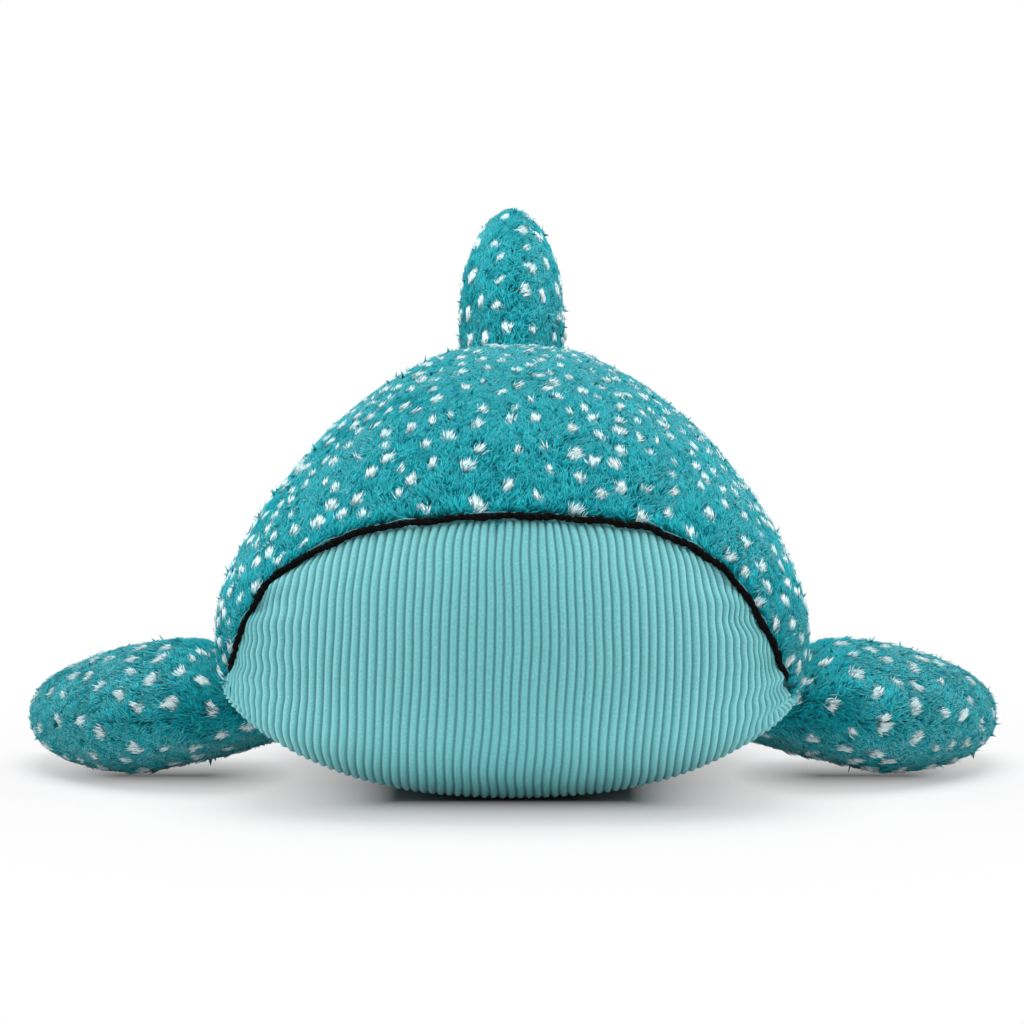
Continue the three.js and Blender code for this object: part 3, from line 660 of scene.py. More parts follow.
# %% Laying the corduroy
# Each line of a rib: its share of the pitch, its height in millimetres, and how much painted highlight
# its colour takes on the toy's right, in the middle and on the left. Flanks that turn outward are painted
# paler, as if side lamps caught them.
rib_lines = [
    (0.0, -1.0, (0, 0, 0)),
    (0.22, -0.34, (1, 0.5, 0.2)),
    (0.5, 0.0, (0.25, 0, 0.25)),
    (0.78, -0.34, (0.2, 0.5, 1)),
]
round_end = 2.8 * MM
front_rows = np.concatenate([np.arange(0, 15, 1.0), np.arange(15, 190, 2.2)]) * MM
rows = np.concatenate([front_rows, np.linspace(192 * MM, lengthwise[-1], 54)])
columns = []
for rib in range(-rib_count, rib_count):
    for share, height, flank_light_shares in rib_lines:
        distance = (rib + share) * rib_pitch
        line = rib_line(distance)
        if line is None or line[3] - line[2] < 2 * MM:
            continue
        laid, normals, begin, end = line
        spread = np.clip(rows, begin + 1.3 * MM, end)
        spread = np.concatenate([[begin, begin + 0.55 * MM], spread])
        full = ease(np.minimum(spread - begin, end - spread) / round_end + 0.05)
        rise = (height * MM - 0.95 * MM * (1 - full))[:, None]
        places = on_line(spread, lengthwise, laid) + on_line(spread, lengthwise, normals) * rise
        # Painted highlight: the share of a paler colour that this line takes where it lies.
        flank_light_share = np.interp(distance / (80 * MM), [-1, 0, 1], flank_light_shares)
        columns.append((distance, spread, places, 1 + height, flank_light_share))

grid = np.array([column[2] for column in columns])
column_count, row_count = grid.shape[:2]
belly = bpy.data.objects.new("belly_corduroy_panel", bpy.data.meshes.new("belly_corduroy_panel"))
scene.collection.objects.link(belly)
number = np.arange(column_count * row_count).reshape(column_count, row_count)
joins = np.array([abs(b[0] - a[0]) < rib_pitch for a, b in zip(columns[:-1], columns[1:])])
quads = np.stack([number[:-1, :-1], number[:-1, 1:], number[1:, 1:], number[1:, :-1]], axis=-1)
quads = quads[joins].reshape(-1, 4)
belly.data.from_pydata(grid.reshape(-1, 3).tolist(), [], quads.tolist())
print("corduroy:", column_count, "columns of", row_count, "points")

# %% The cloth's own directions
def add_values(obj, name, values):
    """Keeps one number for every vertex under this name."""
    attribute = obj.data.attributes.new(name, "FLOAT", "POINT")
    attribute.data.foreach_set("value", np.asarray(values, dtype=np.float32).ravel())


across_cloth, crest, painted_flank_light = (
    np.repeat([column[part] for column in columns], row_count) for part in (0, 3, 4)
)
along_cloth = np.concatenate([column[1] for column in columns])
add_values(belly, "across", across_cloth)
add_values(belly, "lengthwise", along_cloth)
add_values(belly, "crest", crest)
# The painted highlight of the flanks, kept for the finish.
add_values(belly, "painted_flank_light", painted_flank_light)
cloth_width = 0.26
cloth_length = 0.52
flat = np.stack([across_cloth / cloth_width + 0.5, along_cloth / cloth_length], axis=1)
corners = np.empty(len(belly.data.loops), dtype=np.int32)
belly.data.loops.foreach_get("vertex_index", corners)
belly.data.uv_layers.new(name="OFBake").data.foreach_set("uv", flat[corners].ravel())
pick(belly)
bpy.ops.object.mode_set(mode="EDIT")
bpy.ops.mesh.select_all(action="SELECT")
bpy.ops.mesh.remove_doubles(threshold=0.03 * MM)
bpy.ops.mesh.normals_make_consistent(inside=False)
bpy.ops.object.mode_set(mode="OBJECT")
facing = belly.data.polygons[len(belly.data.polygons) // 2]
if facing.normal.dot(facing.center - Vector((0, facing.center.y, turn_z))) <= 0:
    belly.data.flip_normals()
apply(belly, "SOLIDIFY", thickness=1.3 * MM, offset=-1)
bpy.ops.object.shade_smooth()
lowest = points_of(belly)[:, 2].min()
print("corduroy panel:", 2 * len(belly.data.polygons), "triangles, lowest", round(lowest / MM, 2), "mm")

# %% [markdown]
# ## Velour
#
# Corduroy's pile is cut, so its ribs are soft and matt, and light catches the sides that turn
# away: sheen, set for good on the shader, gives a soft edge light, and a painted highlight, a paler
# colour on the flanks that turn outward, adds to it. The grooves show the darker ground with single
# bright fibres, and the colour also darkens into them as painted shade. Noise in the cloth's own
# directions gives the fibres.

# %% Corduroy finish
corduroy_finish, start, shader = new_finish(
    "teal corduroy",
    {
        "Sheen Weight": 0.45,
        "Sheen Roughness": 0.3,
        "Sheen Tint": paint(214, 244, 246),
        "Specular IOR Level": 0.2,
    },
)
across, along, height, painted_flank_light = (start.kept(name) for name in ("across", "lengthwise", "crest", "painted_flank_light"))
cloth = start.node("CombineXYZ", {}, {0: across, 1: along * 0.6, 2: 0.0})
stretched = start.node("CombineXYZ", {}, {0: across, 1: along * 0.12, 2: 0.3})
patches = grain(start, cloth, 22 * MM)
streaks = grain(start, stretched, 0.8 * MM)
fibres = grain(start, cloth, 0.45 * MM, 3.0)
specks = 0.9 * grain(start, cloth, 0.7 * MM, 1.0) ** 2
# The groove's colour: the darker ground cloth, darkened further as painted shade in the groove.
ground = mixed(fibres, paint(36, 106, 113), paint(98, 172, 178))
velour = mixed(patches * 0.5 + streaks * 0.5, paint(58, 165, 170), paint(90, 193, 197))
velour = mixed(specks, velour, paint(150, 220, 221))
# Painted highlight: flanks that turn outward take a pale colour, as if lit from the sides.
velour = mixed(painted_flank_light * 0.72, velour, paint(190, 236, 238))
# From crest to groove the colour darkens: partly the real ground cloth, partly painted shade.
feed(shader, "Base Color", mixed(height**1.2, ground, velour))
feed(shader, "Roughness", 0.75 + 0.2 * fibres)
roughen(shader, fibres * 0.7 + streaks * 0.3, 0.25 * MM, 0.6)
belly.data.materials.append(corduroy_finish)
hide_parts("belly_corduroy", "tail_corduroy")
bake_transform(belly, "body", "tail", start=(0, 0.075, 0.04), end=(0, 0.112, 0.04))

# %% [markdown]
# ## The black cord of the mouth
#
# Two plies of black yarn, twisted and sewn along the seam, draw the mouth. The line wavers a
# little and thickens where the stitches gather. Two thin tubes wound round the seam's own line
# give this better than one thick tube.

# %% The seam's line in space
seam_points = []
for distance in np.arange(-118, 118.1, 0.8) * MM:
    line = rib_line(distance)
    if line is None:
        continue
    place, outward = (on_line(line[2], lengthwise, rows) for rows in line[:2])
    if place[2] > corner.y + (3 if distance < 0 else 6.5) * MM:
        seam_points.append((place, outward))
seam_places, seam_normals = np.array(seam_points).transpose(1, 0, 2)


def soften(rows, reach):
    """A running mean along a line, with its ends kept."""
    padded = np.concatenate([rows[:1]] * reach + [rows] + [rows[-1:]] * reach)
    window = np.ones(2 * reach + 1) / (2 * reach + 1)
    return np.stack([np.convolve(padded[:, axis], window, "valid") for axis in range(3)], axis=1)


gone = lengths_along(seam_places)
marks = np.linspace(0, gone[-1], int(gone[-1] / (0.7 * MM)) + 1)
mouth_path, mouth_out = (soften(on_line(marks, gone, rows), 5) for rows in (seam_places, seam_normals))
print("the mouth is", round(marks[-1] / MM), "mm long")

# %% Twisting the yarn
def tube(name, places, thickness, sides=3):
    """A closed round tube through these points; thickness gives each point's radius."""
    curve = bpy.data.curves.new(name, "CURVE")
    curve.dimensions = "3D"
    curve.bevel_depth = 1.0
    curve.bevel_resolution = sides
    curve.use_fill_caps = True
    line = curve.splines.new("POLY")
    line.points.add(len(places) - 1)
    line.points.foreach_set("co", np.concatenate([places, np.ones((len(places), 1))], axis=1).ravel())
    line.points.foreach_set("radius", thickness)
    made = bpy.data.objects.new(name, curve)
    scene.collection.objects.link(made)
    pick(made)
    bpy.ops.object.convert(target="MESH")
    return bpy.context.object


path_mm = mouth_path / MM
sway = np.stack([wander(path_mm, 14.0, 21), wander(path_mm, 5.0, 22)], axis=1)
upward = unit(np.cross(unit(np.gradient(mouth_path, axis=0)), mouth_out))
seam_side = 1 if upward[len(upward) // 2, 2] > 0 else -1
ends = ease(np.minimum(marks, marks[-1] - marks) / (6 * MM))
lump = 1 + 0.16 * wander(path_mm, 9.0, 23) + 0.1 * wander(path_mm, 2.6, 24)
middle_line = mouth_path + mouth_out * 0.5 * MM + upward * (0.45 * MM * sway[:, :1])
twist = 2 * math.pi * marks / (7 * MM) + 0.8 * sway[:, 1]
plies = []
for ply in (0, math.pi):
    wound = np.cos(twist + ply)[:, None] * mouth_out + np.sin(twist + ply)[:, None] * upward
    radius = 0.86 * MM * lump * (0.35 + 0.65 * ends)
    plies.append(tube("mouth_ply", middle_line + wound * (0.5 * MM * ends)[:, None], radius))
pick(*plies)
bpy.ops.object.join()
mouth_yarn = bpy.context.object
mouth_yarn.name = "mouth_yarn"
bpy.ops.object.shade_smooth()
yarn_finish = speckled(
    "black yarn",
    {"Specular IOR Level": 0.04},
    size=0.3 * MM,
    detail=4.0,
    colours=(paint(2, 2, 3), paint(15, 15, 16)),
    rough=(0.7, 0.25),
    bumps=(0.3 * MM, 0.8),
)
mouth_yarn.data.materials.append(yarn_finish)
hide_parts("mouth_cord")
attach(mouth_yarn, "body")
print("mouth yarn:", 2 * len(mouth_yarn.data.polygons), "triangles")

# %% A pale thread above the cord
loose = np.stack([wander(path_mm, 16.0, 25), wander(path_mm, 11.0, 26)], axis=1)
thread_line = mouth_path + upward * seam_side * (1.35 * MM + 0.35 * MM * loose[:, :1])
thread_line = thread_line + mouth_out * (0.45 * MM + 0.8 * MM * loose[:, 1:])
seam_thread = tube("seam_thread", thread_line, np.full(len(thread_line), 0.13 * MM), sides=1)
bpy.ops.object.shade_smooth()
thread_finish = speckled(
    "pale thread",
    {"Specular IOR Level": 0.2},
    size=1.2 * MM,
    detail=2.0,
    colours=(paint(84, 148, 156), paint(172, 208, 214)),
    rough=(0.6, 0.2),
)
seam_thread.data.materials.append(thread_finish)
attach(seam_thread, "body")
print("seam thread:", 2 * len(seam_thread.data.polygons), "triangles")

# %% [markdown]
# ## The ground of the fur
#
# Long-pile fur is a knitted ground with fibres standing in it. The ground is cut along the seams
# into the panels of the pattern, set as deep as the pile is high, and given a wall, so that a
# parting in the pile shows cloth and not a hole.

# %% Ground finish
ground_finish, start, shader = new_finish("fur ground", {"Sheen Weight": 0.2, "Specular IOR Level": 0.2})
place = start.node("TexCoord", output=3)
knit = grain(start, place, 0.9 * MM, 3.0)
dark = mixed(grain(start, place, 18 * MM), paint(4, 70, 82), paint(10, 92, 104))
feed(shader, "Base Color", mixed(knit * 0.6, dark, paint(16, 112, 124)))
feed(shader, "Roughness", 0.8 + 0.15 * knit)
roughen(shader, knit, 0.4 * MM, 0.7)

# %% Bending at the joints
# The way the dorsal fin stands up from the back, and where its joint lies.
back_slope = np.array([0.0, 0.469928, 0.882705])
dorsal_root = np.array([0.0, -5.147, 127.741]) * MM
dorsal_start = tuple(dorsal_root - 12 * MM * back_slope)
dorsal_end = tuple(dorsal_root + 18 * MM * back_slope)
# For each form: its two bodies, and where the bend between them starts and ends.
bends = {
    "body": ("body", "tail", (0, 0.075, 0.05), (0, 0.112, 0.05)),
    "left_fin": ("body", "left_fin", (0.095, -0.12, 0.03), (0.125, -0.12, 0.03)),
    "right_fin": ("body", "right_fin", (-0.095, -0.12, 0.03), (-0.125, -0.12, 0.03)),
    "dorsal_fin": ("body", "dorsal_fin", dorsal_start, dorsal_end),
    "tail_fin": ("tail", "tail_fin", (0, 0.145, 0.045), (0, 0.168, 0.045)),
}


def bend(piece, form):
    """Lets the piece bend with the joint of its form."""
    near, far, start, end = bends[form]
    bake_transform(piece, near, far, start=start, end=end)


print("bends:", list(bends))

# %% Cutting a panel from a skin
pile_height = 2.5 * MM
panel_wall = 1.5 * MM


def keep_where(obj, field):
    """Cuts the mesh along the line where the field is zero and keeps what is above it."""
    mesh = bmesh.new()
    mesh.from_mesh(obj.data)
    values = field(points_of(obj))
    values[np.abs(values) < 0.1 * MM] = 0.1 * MM
    level = mesh.verts.layers.float.new("level")
    for vertex, value in zip(mesh.verts, values):
        vertex[level] = value
    fresh = []
    for edge in list(mesh.edges):
        first, last = edge.verts
        if first[level] * last[level] < 0:
            share = first[level] / (first[level] - last[level])
            made = bmesh.utils.edge_split(edge, first, share)[1]
            made[level] = 0
            fresh.append(made)
    bmesh.ops.connect_verts(mesh, verts=fresh)
    gone = [face for face in mesh.faces if sum(corner[level] for corner in face.verts) < 0]
    bmesh.ops.delete(mesh, geom=gone, context="FACES")
    mesh.verts.layers.float.remove(mesh.verts.layers.float["level"])
    mesh.to_mesh(obj.data)
    mesh.free()


def panel(name, form, fields, replaced):
    """A copy of a form, set deeper, cut to one panel of the pattern and given a wall."""
    made = copy_of(forms[form], name)
    for field in fields:
        keep_where(made, field)
    put_points(made, points_of(made) - pile_height * points_of(made, "normal"))
    apply(made, "SOLIDIFY", thickness=panel_wall, offset=-1)
    bpy.ops.object.shade_smooth()
    made.data.materials.append(ground_finish)
    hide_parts(*replaced)
    bend(made, form)
    print(name, 2 * len(made.data.polygons), "triangles")


# %% The two panels of the back
for side, word in ((1, "left"), (-1, "right")):
    fields = [lambda points: above_seam(points) + 3 * MM, lambda points: side * points[:, 0]]
    panel(f"back_ground_{word}", "body", fields, [f"back_fur_{word}", f"tail_fur_{word}"])

# %% [markdown]
# ## Pile
#
# The toy's fur is a polyester pile some six millimetres long. It lies back from the nose, in
# tufts that part a little, and a darker ground shows between them. Hair particles would be
# quick, but they don't leave Blender as a mesh. So every tuft of a few fibres is one thin closed
# blade of four triangles, rooted on the ground and bent over by the way the pile lies. In the
# white spots a tuft is white from the middle of its length to the tip.

# %% Roots on a skin
def roots_on(skin, per_mm2, seed):
    """Random places on the skin, evenly over its area, with the skin's normals there."""
    draw = np.random.default_rng(seed)
    triangles = triangles_of(skin)
    spots = points_of(skin)[triangles]
    normals = points_of(skin, "normal")[triangles]
    area = np.linalg.norm(np.cross(spots[:, 1] - spots[:, 0], spots[:, 2] - spots[:, 0]), axis=1) / 2
    count = int(area.sum() / MM**2 * per_mm2)
    chosen = draw.choice(len(area), count, p=area / area.sum())
    first, second = draw.random((2, count))
    folded = first + second > 1
    first = np.where(folded, 1 - first, first)
    second = np.where(folded, 1 - second, second)
    share = np.stack([1 - first - second, first, second], axis=1)[:, :, None]
    return (spots[chosen] * share).sum(axis=1), unit((normals[chosen] * share).sum(axis=1))


# %% White spots
def spotted(roots, spacing, radius, seed):
    """How white each root is, 0 to 1, and how near to a spot. Spots keep a distance from each other."""
    draw = np.random.default_rng(seed)
    tried = draw.permutation(len(roots))[:9000]
    room = np.broadcast_to(spacing, len(roots))[tried] * draw.uniform(0.72, 1.35, len(tried))
    chosen = [tried[0]]
    centres = roots[chosen]
    for index, needed in zip(tried[1:], room[1:]):
        if ((centres - roots[index]) ** 2).sum(axis=1).min() > needed**2:
            chosen.append(index)
            centres = roots[chosen]
    tree = KDTree(len(centres))
    for index, place in enumerate(centres):
        tree.insert(place, index)
    tree.balance()
    size = np.broadcast_to(radius, len(roots))[chosen] * draw.uniform(0.7, 1.25, len(centres))
    nearest = [tree.find(place)[1:] for place in roots]
    index = np.array([found[0] for found in nearest])
    gap = np.array([found[1] for found in nearest])
    ragged = 1 + 0.3 * wander(roots, 3.5 * MM, seed + 1)
    inside_edge = (size[index] * ragged - gap) / MM
    return np.clip(0.5 + inside_edge / 0.9, 0, 1), np.clip(1 + inside_edge / 3.5, 0, 1), len(centres)


def thicken(white, *rows, seed):
    """White tufts four times, each a little beside the first, so that a spot closes."""
    draw = np.random.default_rng(seed)
    again = np.nonzero(white > 0.4)[0]
    index = np.concatenate([np.arange(len(white)), again, again, again])
    moved = [part[index] for part in rows]
    beside = draw.normal(0, 0.45 * MM, (len(index) - len(white), 3))
    moved[0][len(white) :] += beside
    return [white[index], *moved]


# %% Growing the pile
tuft_faces = np.array([(0, 1, 2), (3, 2, 1), (0, 3, 1), (0, 2, 3)])
tuft_flat = np.array([(0.06, 0.5), (0.5, 0.94), (0.5, 0.06), (0.94, 0.5)])
pile_length = 5.6 * MM
tuft_width = 0.35 * MM


def comb(roots, normals, direction, white, seed, stray):
    """The way the pile lies at each root: along the skin, with eddies and stray tufts."""
    draw = np.random.default_rng(seed)
    flow = unit(direction - normals * (direction * normals).sum(axis=1, keepdims=True))
    turn = 0.4 * wander(roots, 26 * MM, seed + 1) + 0.35 * wander(roots, 7 * MM, seed + 2)
    turn = turn + draw.normal(0, stray, len(roots)) * (1 - 0.7 * white)
    turn = np.clip(turn, -1.1, 1.1)[:, None]
    return np.cos(turn) * flow + np.sin(turn) * np.cross(normals, flow)


def grow(name, roots, normals, flow, length, rise, white, seed, breadth):
    """One piece of pile: a blade for every root, with its tone, its tip and its dye."""
    draw = np.random.default_rng(seed)
    count = len(roots)
    length = (length * draw.uniform(0.8, 1.15, count) * (1 - 0.12 * white))[:, None]
    rise = (rise * draw.uniform(0.75, 1.2, count) * (1 + 0.2 * white))[:, None]
    width = (breadth * draw.uniform(0.75, 1.3, count) * (1 - 0.1 * white))[:, None]
    eddy = np.stack([wander(roots, 3.2 * MM, seed + axis) for axis in range(3)], axis=1)
    eddy -= normals * (eddy * normals).sum(axis=1, keepdims=True)
    eddy *= 1 - 0.8 * white[:, None]
    middle = roots + 0.42 * length * unit(normals * rise + flow)
    tip = middle + 0.58 * length * unit(normals * 0.16 * rise + flow + 0.65 * eddy)
    tip[:, 2] = np.maximum(tip[:, 2], 0.15 * MM)
    middle[:, 2] = np.maximum(middle[:, 2], 0.3 * MM)
    across = unit(np.cross(tip - roots, normals))
    sides = [middle + 0.5 * width * across, middle - 0.5 * width * across]
    places = np.stack([roots, *sides, tip], axis=1).reshape(-1, 3)
    faces = (tuft_faces[None] + 4 * np.arange(count)[:, None, None]).reshape(-1, 3)
    data = bpy.data.meshes.new(name)
    data.vertices.add(len(places))
    data.vertices.foreach_set("co", places.ravel())
    data.loops.add(3 * len(faces))
    data.loops.foreach_set("vertex_index", faces.ravel())
    data.polygons.add(len(faces))
    data.polygons.foreach_set("loop_start", np.arange(0, 3 * len(faces), 3))
    data.update(calc_edges=True)
    made = bpy.data.objects.new(name, data)
    scene.collection.objects.link(made)
    tone = 0.5 + 0.2 * wander(roots, 9 * MM, seed + 7) + draw.normal(0, 0.2, count)
    add_values(made, "tone", np.repeat(np.clip(tone, 0, 1), 4))
    add_values(made, "white", np.repeat(white, 4))
    add_values(made, "tip", np.tile([0, 0.45, 0.45, 1], count))
    cells = math.ceil(math.sqrt(count))
    corner_cell = np.stack([np.arange(count) % cells, np.arange(count) // cells], axis=1)
    flat = (corner_cell[:, None] + tuft_flat[tuft_faces.ravel()][None]) / cells
    data.uv_layers.new(name="OFBake").data.foreach_set("uv", flat.ravel())
    data.shade_smooth()
    data.materials.append(fur_finish)
    print(name, "has", count, "tufts")
    return made


# %% Fur finish
fur_finish, start, shader = new_finish(
    "teal pile",
    {
        "Specular IOR Level": 0.03,
        "Sheen Weight": 0.55,
        "Sheen Roughness": 0.2,
        "Sheen Tint": paint(165, 232, 238),
    },
)
tone, tip, white = (start.kept(name) for name in ("tone", "tip", "white"))
patches = grain(start, start.node("TexCoord", output=3), 24 * MM)
# Deeper teal at the root, paler towards the tip: painted shade deep in the pile and a painted sheen on the
# tips.
deep = mixed(patches, paint(0, 107, 119), paint(0, 125, 137))
bright = mixed(patches * 0.6 + tone * 0.4, paint(0, 153, 164), paint(42, 178, 188))
teal = mixed(tip * (0.45 + 0.75 * tone), deep, bright)
undyed = mixed(tip, paint(170, 210, 214), paint(244, 248, 249))
bleached = white * start.maths("MINIMUM", tip * 2.2, 1.0)
feed(shader, "Base Color", mixed(bleached, teal, undyed))
feed(shader, "Roughness", 0.6 + 0.25 * tone)

# %% [markdown]
# ## The pile of the body
#
# The pile lies from the nose back and up, as if a hand had stroked it. It lies flatter further
# back, parts along the middle seam, and stands up where the mouth seam pinches it. The eyes are
# kept free.

# %% Fur on the body
tufts_per_mm2 = 2.5
eye_centres = [sum(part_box(f"{word}_eye"), Vector()) / 2 for word in ("left", "right")]
roots, normals = roots_on(body_skin, tufts_per_mm2, 31)
above = above_seam(roots)
station = roots[:, 1] - nose_y
draw = np.random.default_rng(32)
dense = np.interp(station / MM, [0, 120, 170, 420], [1.0, 0.95, 0.66, 0.5])
kept = (above > 0.3 * MM) & (draw.random(len(roots)) < dense)
for eye in eye_centres:
    kept &= np.linalg.norm(roots - np.array(eye), axis=1) > 6.5 * MM
roots, normals, above, station = (rows[kept] for rows in (roots, normals, above, station))
spot_room = np.interp(station / MM, [10, 45, 120, 200], [12.2, 8.0, 8.8, 11]) * MM
spot_radius = np.interp(station / MM, [8, 45, 120, 200], [1.75, 1.15, 1.2, 1.4]) * MM
white, near_spot, spot_count = spotted(roots, spot_room, spot_radius, 33)
white, roots, normals, above, station, near_spot = thicken(
    white, roots, normals, above, station, near_spot, seed=35
)
beside = np.abs(roots[:, 0])
to_tail = ease((station - 70 * MM) / (70 * MM))[:, None]
back_flow = (1 - to_tail) * np.array([[0.2, 0.45, 0.75]]) + to_tail * np.array([[0.0, 0.93, 0.3]])
part = np.sign(roots[:, :1]) * np.exp(-beside / (2.5 * MM))[:, None] * np.array([[0.2, 0, 0]])
flow = comb(roots, normals, back_flow + part, white, 34, stray=0.38)
at_front = station < 60 * MM
near_mouth = np.exp(-above / (5 * MM)) * at_front
over_cord = (draw.random(len(roots)) < 0.025) & (above < 1.5 * MM) & at_front & (white == 0)
flow[over_cord] *= -1
length = pile_length * (1 + 0.35 * near_mouth) * (1 - 0.35 * near_spot * (1 - white))
rise = np.interp(station / MM, [15, 60], [0.62, 0.32]) + 0.6 * near_mouth
valley = 0.12 * MM * hill(beside, 0, 2.2 * MM)
rooted = roots - normals * (pile_height + valley)[:, None]
print(spot_count, "white spots on the body,", len(roots), "tufts")

# %% Pieces of the body's pile
# Where each piece begins and ends behind the nose, in millimetres, and how broad its tufts are.
bands = [("nose", -50, 60, 1), ("crown", 60, 125, 1), ("back", 125, 250, 1.15), ("stalk", 250, 500, 1.15)]
for side, word in ((1, "left"), (-1, "right")):
    for band, (band_name, begin, end, broader) in enumerate(bands):
        chosen = (side * roots[:, 0] > 0) & (station > begin * MM) & (station <= end * MM)
        tufts = [rows[chosen] for rows in (rooted, normals, flow, length, rise, white)]
        pile = grow(f"{band_name}_pile_{word}", *tufts, 40 + 5 * band + side, tuft_width * broader)
        if band_name == "stalk":
            bend(pile, "body")
        else:
            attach(pile, "body")

# %% [markdown]
# ## Fins
#
# Each fin is two panels of fur, sewn along the rim, turned and stuffed like a small cushion. The
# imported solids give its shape. The root is drawn into the body, because there the fin's skin is
# sewn to the body's and bends with it. The seam pulls in a little, which leaves the crease that
# runs round the fin's front.

# %% One fin's skins
root_depth = 20 * MM


def stuffed_fin(name, parts, outward, field, voxel=3 * MM, shape=lambda points, reach: points):
    """Keeps the swollen skin of a fin, its root drawn in against outward, and returns a finer one."""
    skin = one_skin(f"{name}_form", parts, voxel, smoothing=10)
    points = points_of(skin) + 0.7 * MM * points_of(skin, "normal")
    reach = points @ outward
    reach -= reach.min()
    put_points(skin, shape(points, reach))
    held = np.maximum(1 - np.abs(field(points)) / (3.5 * MM), 1 - ease(reach / (10 * MM)))
    swell(skin, held.clip(0, 1), cap=2.5 * MM)
    points = points_of(skin)
    reach = points @ outward
    reach -= reach.min()
    points -= root_depth * (1 - ease(reach / (32 * MM)))[:, None] * outward
    crease = 1.2 * MM * hill(field(points), 0, 4 * MM) * ease(1 - (reach - 20 * MM) / (60 * MM))
    points -= crease[:, None] * points_of(skin, "normal")
    points[:, 2] = np.maximum(points[:, 2], -1.2 * MM)
    put_points(skin, points)
    forms[name] = skin
    fine = copy_of(skin, f"{name}_fine")
    scraps.append(fine)
    apply(fine, "SUBSURF", levels=1, render_levels=1)
    print(name, [round(side / MM, 1) for side in skin.dimensions], "mm")
    return fine


def buried(places, depth):
    """True where a place lies this deep inside the body."""
    found = [body_tree.find_nearest(place) for place in places.tolist()]
    inward = [(hit[0] - Vector(place)).dot(hit[1]) for place, hit in zip(places, found)]
    return np.array(inward) > depth


# %% Ground and pile of a fin
def dress_fin(name, fine, words, parts, field, across, direction, seed, spread, density, spot_room):
    """Two ground panels and two pieces of pile. words names them; the pile parts along across."""
    roots, normals = roots_on(fine, density, seed)
    hidden = buried(roots, 7 * MM)
    roots, normals = roots[~hidden], normals[~hidden]
    white, near_spot, count = spotted(roots, spot_room, 1.85 * MM, seed + 1)
    white, roots, normals, near_spot = thicken(white, roots, normals, near_spot, seed=seed + 6)
    level = field(roots)
    at_seam = np.exp(-np.abs(level) / (4 * MM))
    part = np.sign(level)[:, None] * at_seam[:, None] * np.array([across]) * spread
    flow = comb(roots, normals, direction(roots) + part, white, seed + 2, stray=0.4)
    length = pile_length * 0.95 * (1 - 0.35 * near_spot * (1 - white))
    rise = 0.42 + 0.3 * at_seam
    rooted = roots - normals * pile_height
    breadth = tuft_width * math.sqrt(2.1 / density)
    for sign, word, node in zip((1, -1), words, parts):
        panel(f"{name}_ground_{word}", name, [lambda points: sign * field(points)], [node])
        chosen = sign * level > 0
        tufts = [rows[chosen] for rows in (rooted, normals, flow, length, rise, white)]
        bend(grow(f"{name}_pile_{word}", *tufts, seed + 3 + sign, breadth), name)
    print(name, "has", count, "white spots")


# %% The two pectoral fins
def fuller_root(points, reach):
    """The fin is thicker above where it leaves the body, and drawn up below."""
    level = 27 * MM
    fuller = np.interp(reach / MM, [0, 20, 45, 92], [1.22, 1.14, 1.03, 0.95])
    drawn_up = np.interp(reach / MM, [0, 18, 44], [0.7, 0.93, 1.03])
    raised = points.copy()
    factor = np.where(points[:, 2] > level, fuller, drawn_up)
    raised[:, 2] = level + (points[:, 2] - level) * factor
    return raised


for side, word in ((1, "left"), (-1, "right")):
    name = f"{word}_fin"
    parts = [f"{name}_upper_fur", f"{name}_lower_fur", f"{name}_filling"]
    trees = [tree_of(nodes[part]) for part in parts[:2]]

    def above_rim(points):
        """How much nearer each point is to the upper panel than to the lower one."""
        upper, lower = ([tree.find_nearest(point)[3] for point in points.tolist()] for tree in trees)
        return np.array(lower) - np.array(upper)

    def outboard(roots):
        """The pile of this fin lies outwards and back."""
        return np.tile([side * 0.9, 0.55, 0.0], (len(roots), 1))

    fine = stuffed_fin(name, parts, np.array([side, 0.0, 0.0]), above_rim, shape=fuller_root)
    looks = {"seed": 100 + 20 * side, "spread": 0.35, "density": 1.9, "spot_room": 14 * MM}
    dress_fin(name, fine, ("upper", "lower"), parts, above_rim, (0, 0, 1), outboard, **looks)

# %% The dorsal fin
def left_half(points):
    """Distance from the middle: positive on the toy's left."""
    return points[:, 0].copy()


def rounder_sides(points, reach):
    """An egg in front view: a little wider than it was packed, but not where it leaves the back."""
    wider = points.copy()
    wider[:, 0] *= np.interp(reach / MM, [0, 28, 50, 68], [0.94, 0.97, 1.04, 1.13])
    wider[:, 0] -= 0.6 * MM
    return wider


def up_and_back(roots):
    """The pile of the dorsal fin lies up and a little back."""
    return np.tile([0.3, 0.4, 1.0], (len(roots), 1))


words = ("left", "right")
looks = {"seed": 160, "spread": 0.3, "density": 1.9, "spot_room": 14.5 * MM}
name = "dorsal_fin"
parts = [f"{name}_left_fur", f"{name}_right_fur", f"{name}_filling"]
fine = stuffed_fin(name, parts, back_slope, left_half, shape=rounder_sides)
dress_fin(name, fine, words, parts, left_half, (1, 0, 0), up_and_back, **looks)

# %% The tail fin
tail_height = 43 * MM


def along_lobes(roots):
    """The pile of the tail fin lies back, and up or down along its lobes."""
    rise = np.clip((roots[:, 2] - tail_height) / (25 * MM), -1, 1.6)
    return np.stack([np.zeros(len(roots)), np.full(len(roots), 1.0), rise], axis=1)


looks = {"seed": 180, "spread": 0.4, "density": 1.6, "spot_room": 14.5 * MM}
name = "tail_fin"
parts = [f"{name}_left_fur", f"{name}_right_fur", f"{name}_filling"]
fine = stuffed_fin(name, parts, np.array([0, 1.0, 0]), left_half, voxel=2.5 * MM)
dress_fin(name, fine, words, parts, left_half, (1, 0, 0), along_lobes, **looks)

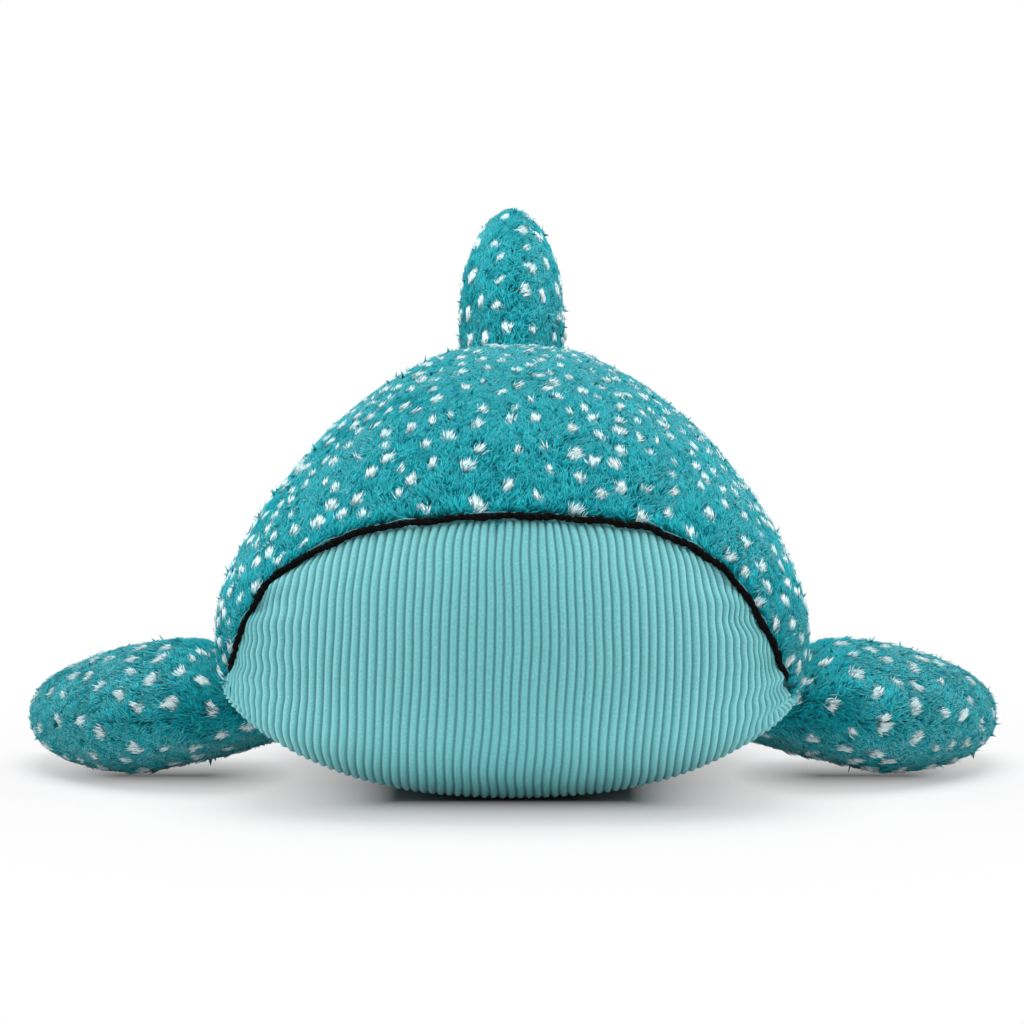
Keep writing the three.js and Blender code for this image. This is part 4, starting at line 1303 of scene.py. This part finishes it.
# %% [markdown]
# ## Eyes
#
# The eyes are glossy black safety eyes, one on each side of the head: a shallow dome with a rim,
# on a shank that goes through the fur to a washer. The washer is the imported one, with a finish of
# its own.

# %% Two safety eyes
eye_radius = 5 * MM
eye_flatness = 0.68
eye_finish = speckled(
    "black gloss",
    {"Coat Weight": 0.25, "Coat Roughness": 0.03, "Specular IOR Level": 0.3},
    size=1.6 * MM,
    detail=3.0,
    colours=(paint(3, 3, 4), paint(9, 9, 10)),
    rough=(0.08, 0.14),
)
for word, centre in zip(("left", "right"), eye_centres):
    surface, facing, _, _ = body_tree.find_nearest(centre)
    bpy.ops.object.select_all(action="DESELECT")
    bpy.ops.mesh.primitive_uv_sphere_add(segments=32, ring_count=18, radius=eye_radius)
    eye = bpy.context.object
    eye.name = f"{word}_eye_button"
    bpy.ops.object.mode_set(mode="EDIT")
    bpy.ops.mesh.select_all(action="SELECT")
    bpy.ops.mesh.bisect(plane_co=(0, 0, 0), plane_no=(0, 0, 1), clear_inner=True)
    bpy.ops.mesh.edge_face_add()
    bpy.ops.mesh.inset(thickness=0.5 * MM)
    bpy.ops.mesh.inset(thickness=3.0 * MM)
    bpy.ops.mesh.extrude_region_move(TRANSFORM_OT_translate={"value": (0, 0, -5 * MM)})
    bpy.ops.mesh.select_all(action="SELECT")
    bpy.ops.mesh.normals_make_consistent(inside=False)
    bpy.ops.object.mode_set(mode="OBJECT")
    eye.scale = (1, 1, eye_flatness)
    eye.rotation_euler = facing.to_track_quat("Z", "Y").to_euler()
    eye.location = surface - facing * 1.0 * MM
    bpy.ops.object.transform_apply(location=True, rotation=True, scale=True)
    apply(eye, "BEVEL", width=0.25 * MM, segments=2, limit_method="ANGLE")
    bpy.ops.object.shade_smooth()
    eye.data.materials.append(eye_finish)
    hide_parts(f"{word}_eye")
    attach(eye, "body")
    print(eye.name, [round(value / MM, 1) for value in eye.dimensions], "mm")

# %% Washer finish
washer_finish = speckled(
    "washer plastic",
    {"Specular IOR Level": 0.5},
    size=2.5 * MM,
    detail=3.0,
    colours=(paint(222, 222, 216), paint(236, 236, 232)),
    rough=(0.35, 0.2),
    bumps=(0.1 * MM, 0.3),
)
for word in ("left", "right"):
    nodes[f"{word}_eye_washer"].material_slots[0].material = washer_finish

# %% [markdown]
# ## Filling
#
# Polyester fibre fills the body, the tail and every fin. It isn't seen, but a toy that is cut open
# or seen through a parting needs it. Each cushion of filling is the swollen skin drawn in by the
# thickness of the panels, remeshed so that it stays one closed lump.

# %% Cushions of filling
filling_finish = speckled(
    "polyester fibre",
    {"Sheen Weight": 0.4, "Specular IOR Level": 0.2},
    size=1.5 * MM,
    detail=5.0,
    colours=(paint(206, 208, 206), paint(244, 245, 243)),
    rough=(0.8, 0.15),
    bumps=(1.2 * MM, 0.8),
)
drawn_in = pile_height + 3.0 * MM
for form, skin in forms.items():
    cushion = copy_of(skin, f"{form}_stuffing")
    put_points(cushion, points_of(cushion) - drawn_in * points_of(cushion, "normal"))
    apply(cushion, "REMESH", mode="VOXEL", voxel_size=4.5 * MM)
    apply(cushion, "SMOOTH", factor=0.5, iterations=4)
    bpy.ops.object.shade_smooth()
    cushion.data.materials.clear()
    cushion.data.materials.append(filling_finish)
    fillings = [f"{form}_filling"] + ["tail_filling"] * (form == "body")
    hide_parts(*fillings)
    bend(cushion, form)
    print(cushion.name, 2 * len(cushion.data.polygons), "triangles")

# %% Clearing the scaffolding
for scrap in [*scraps, *forms.values()]:
    bpy.data.objects.remove(scrap)
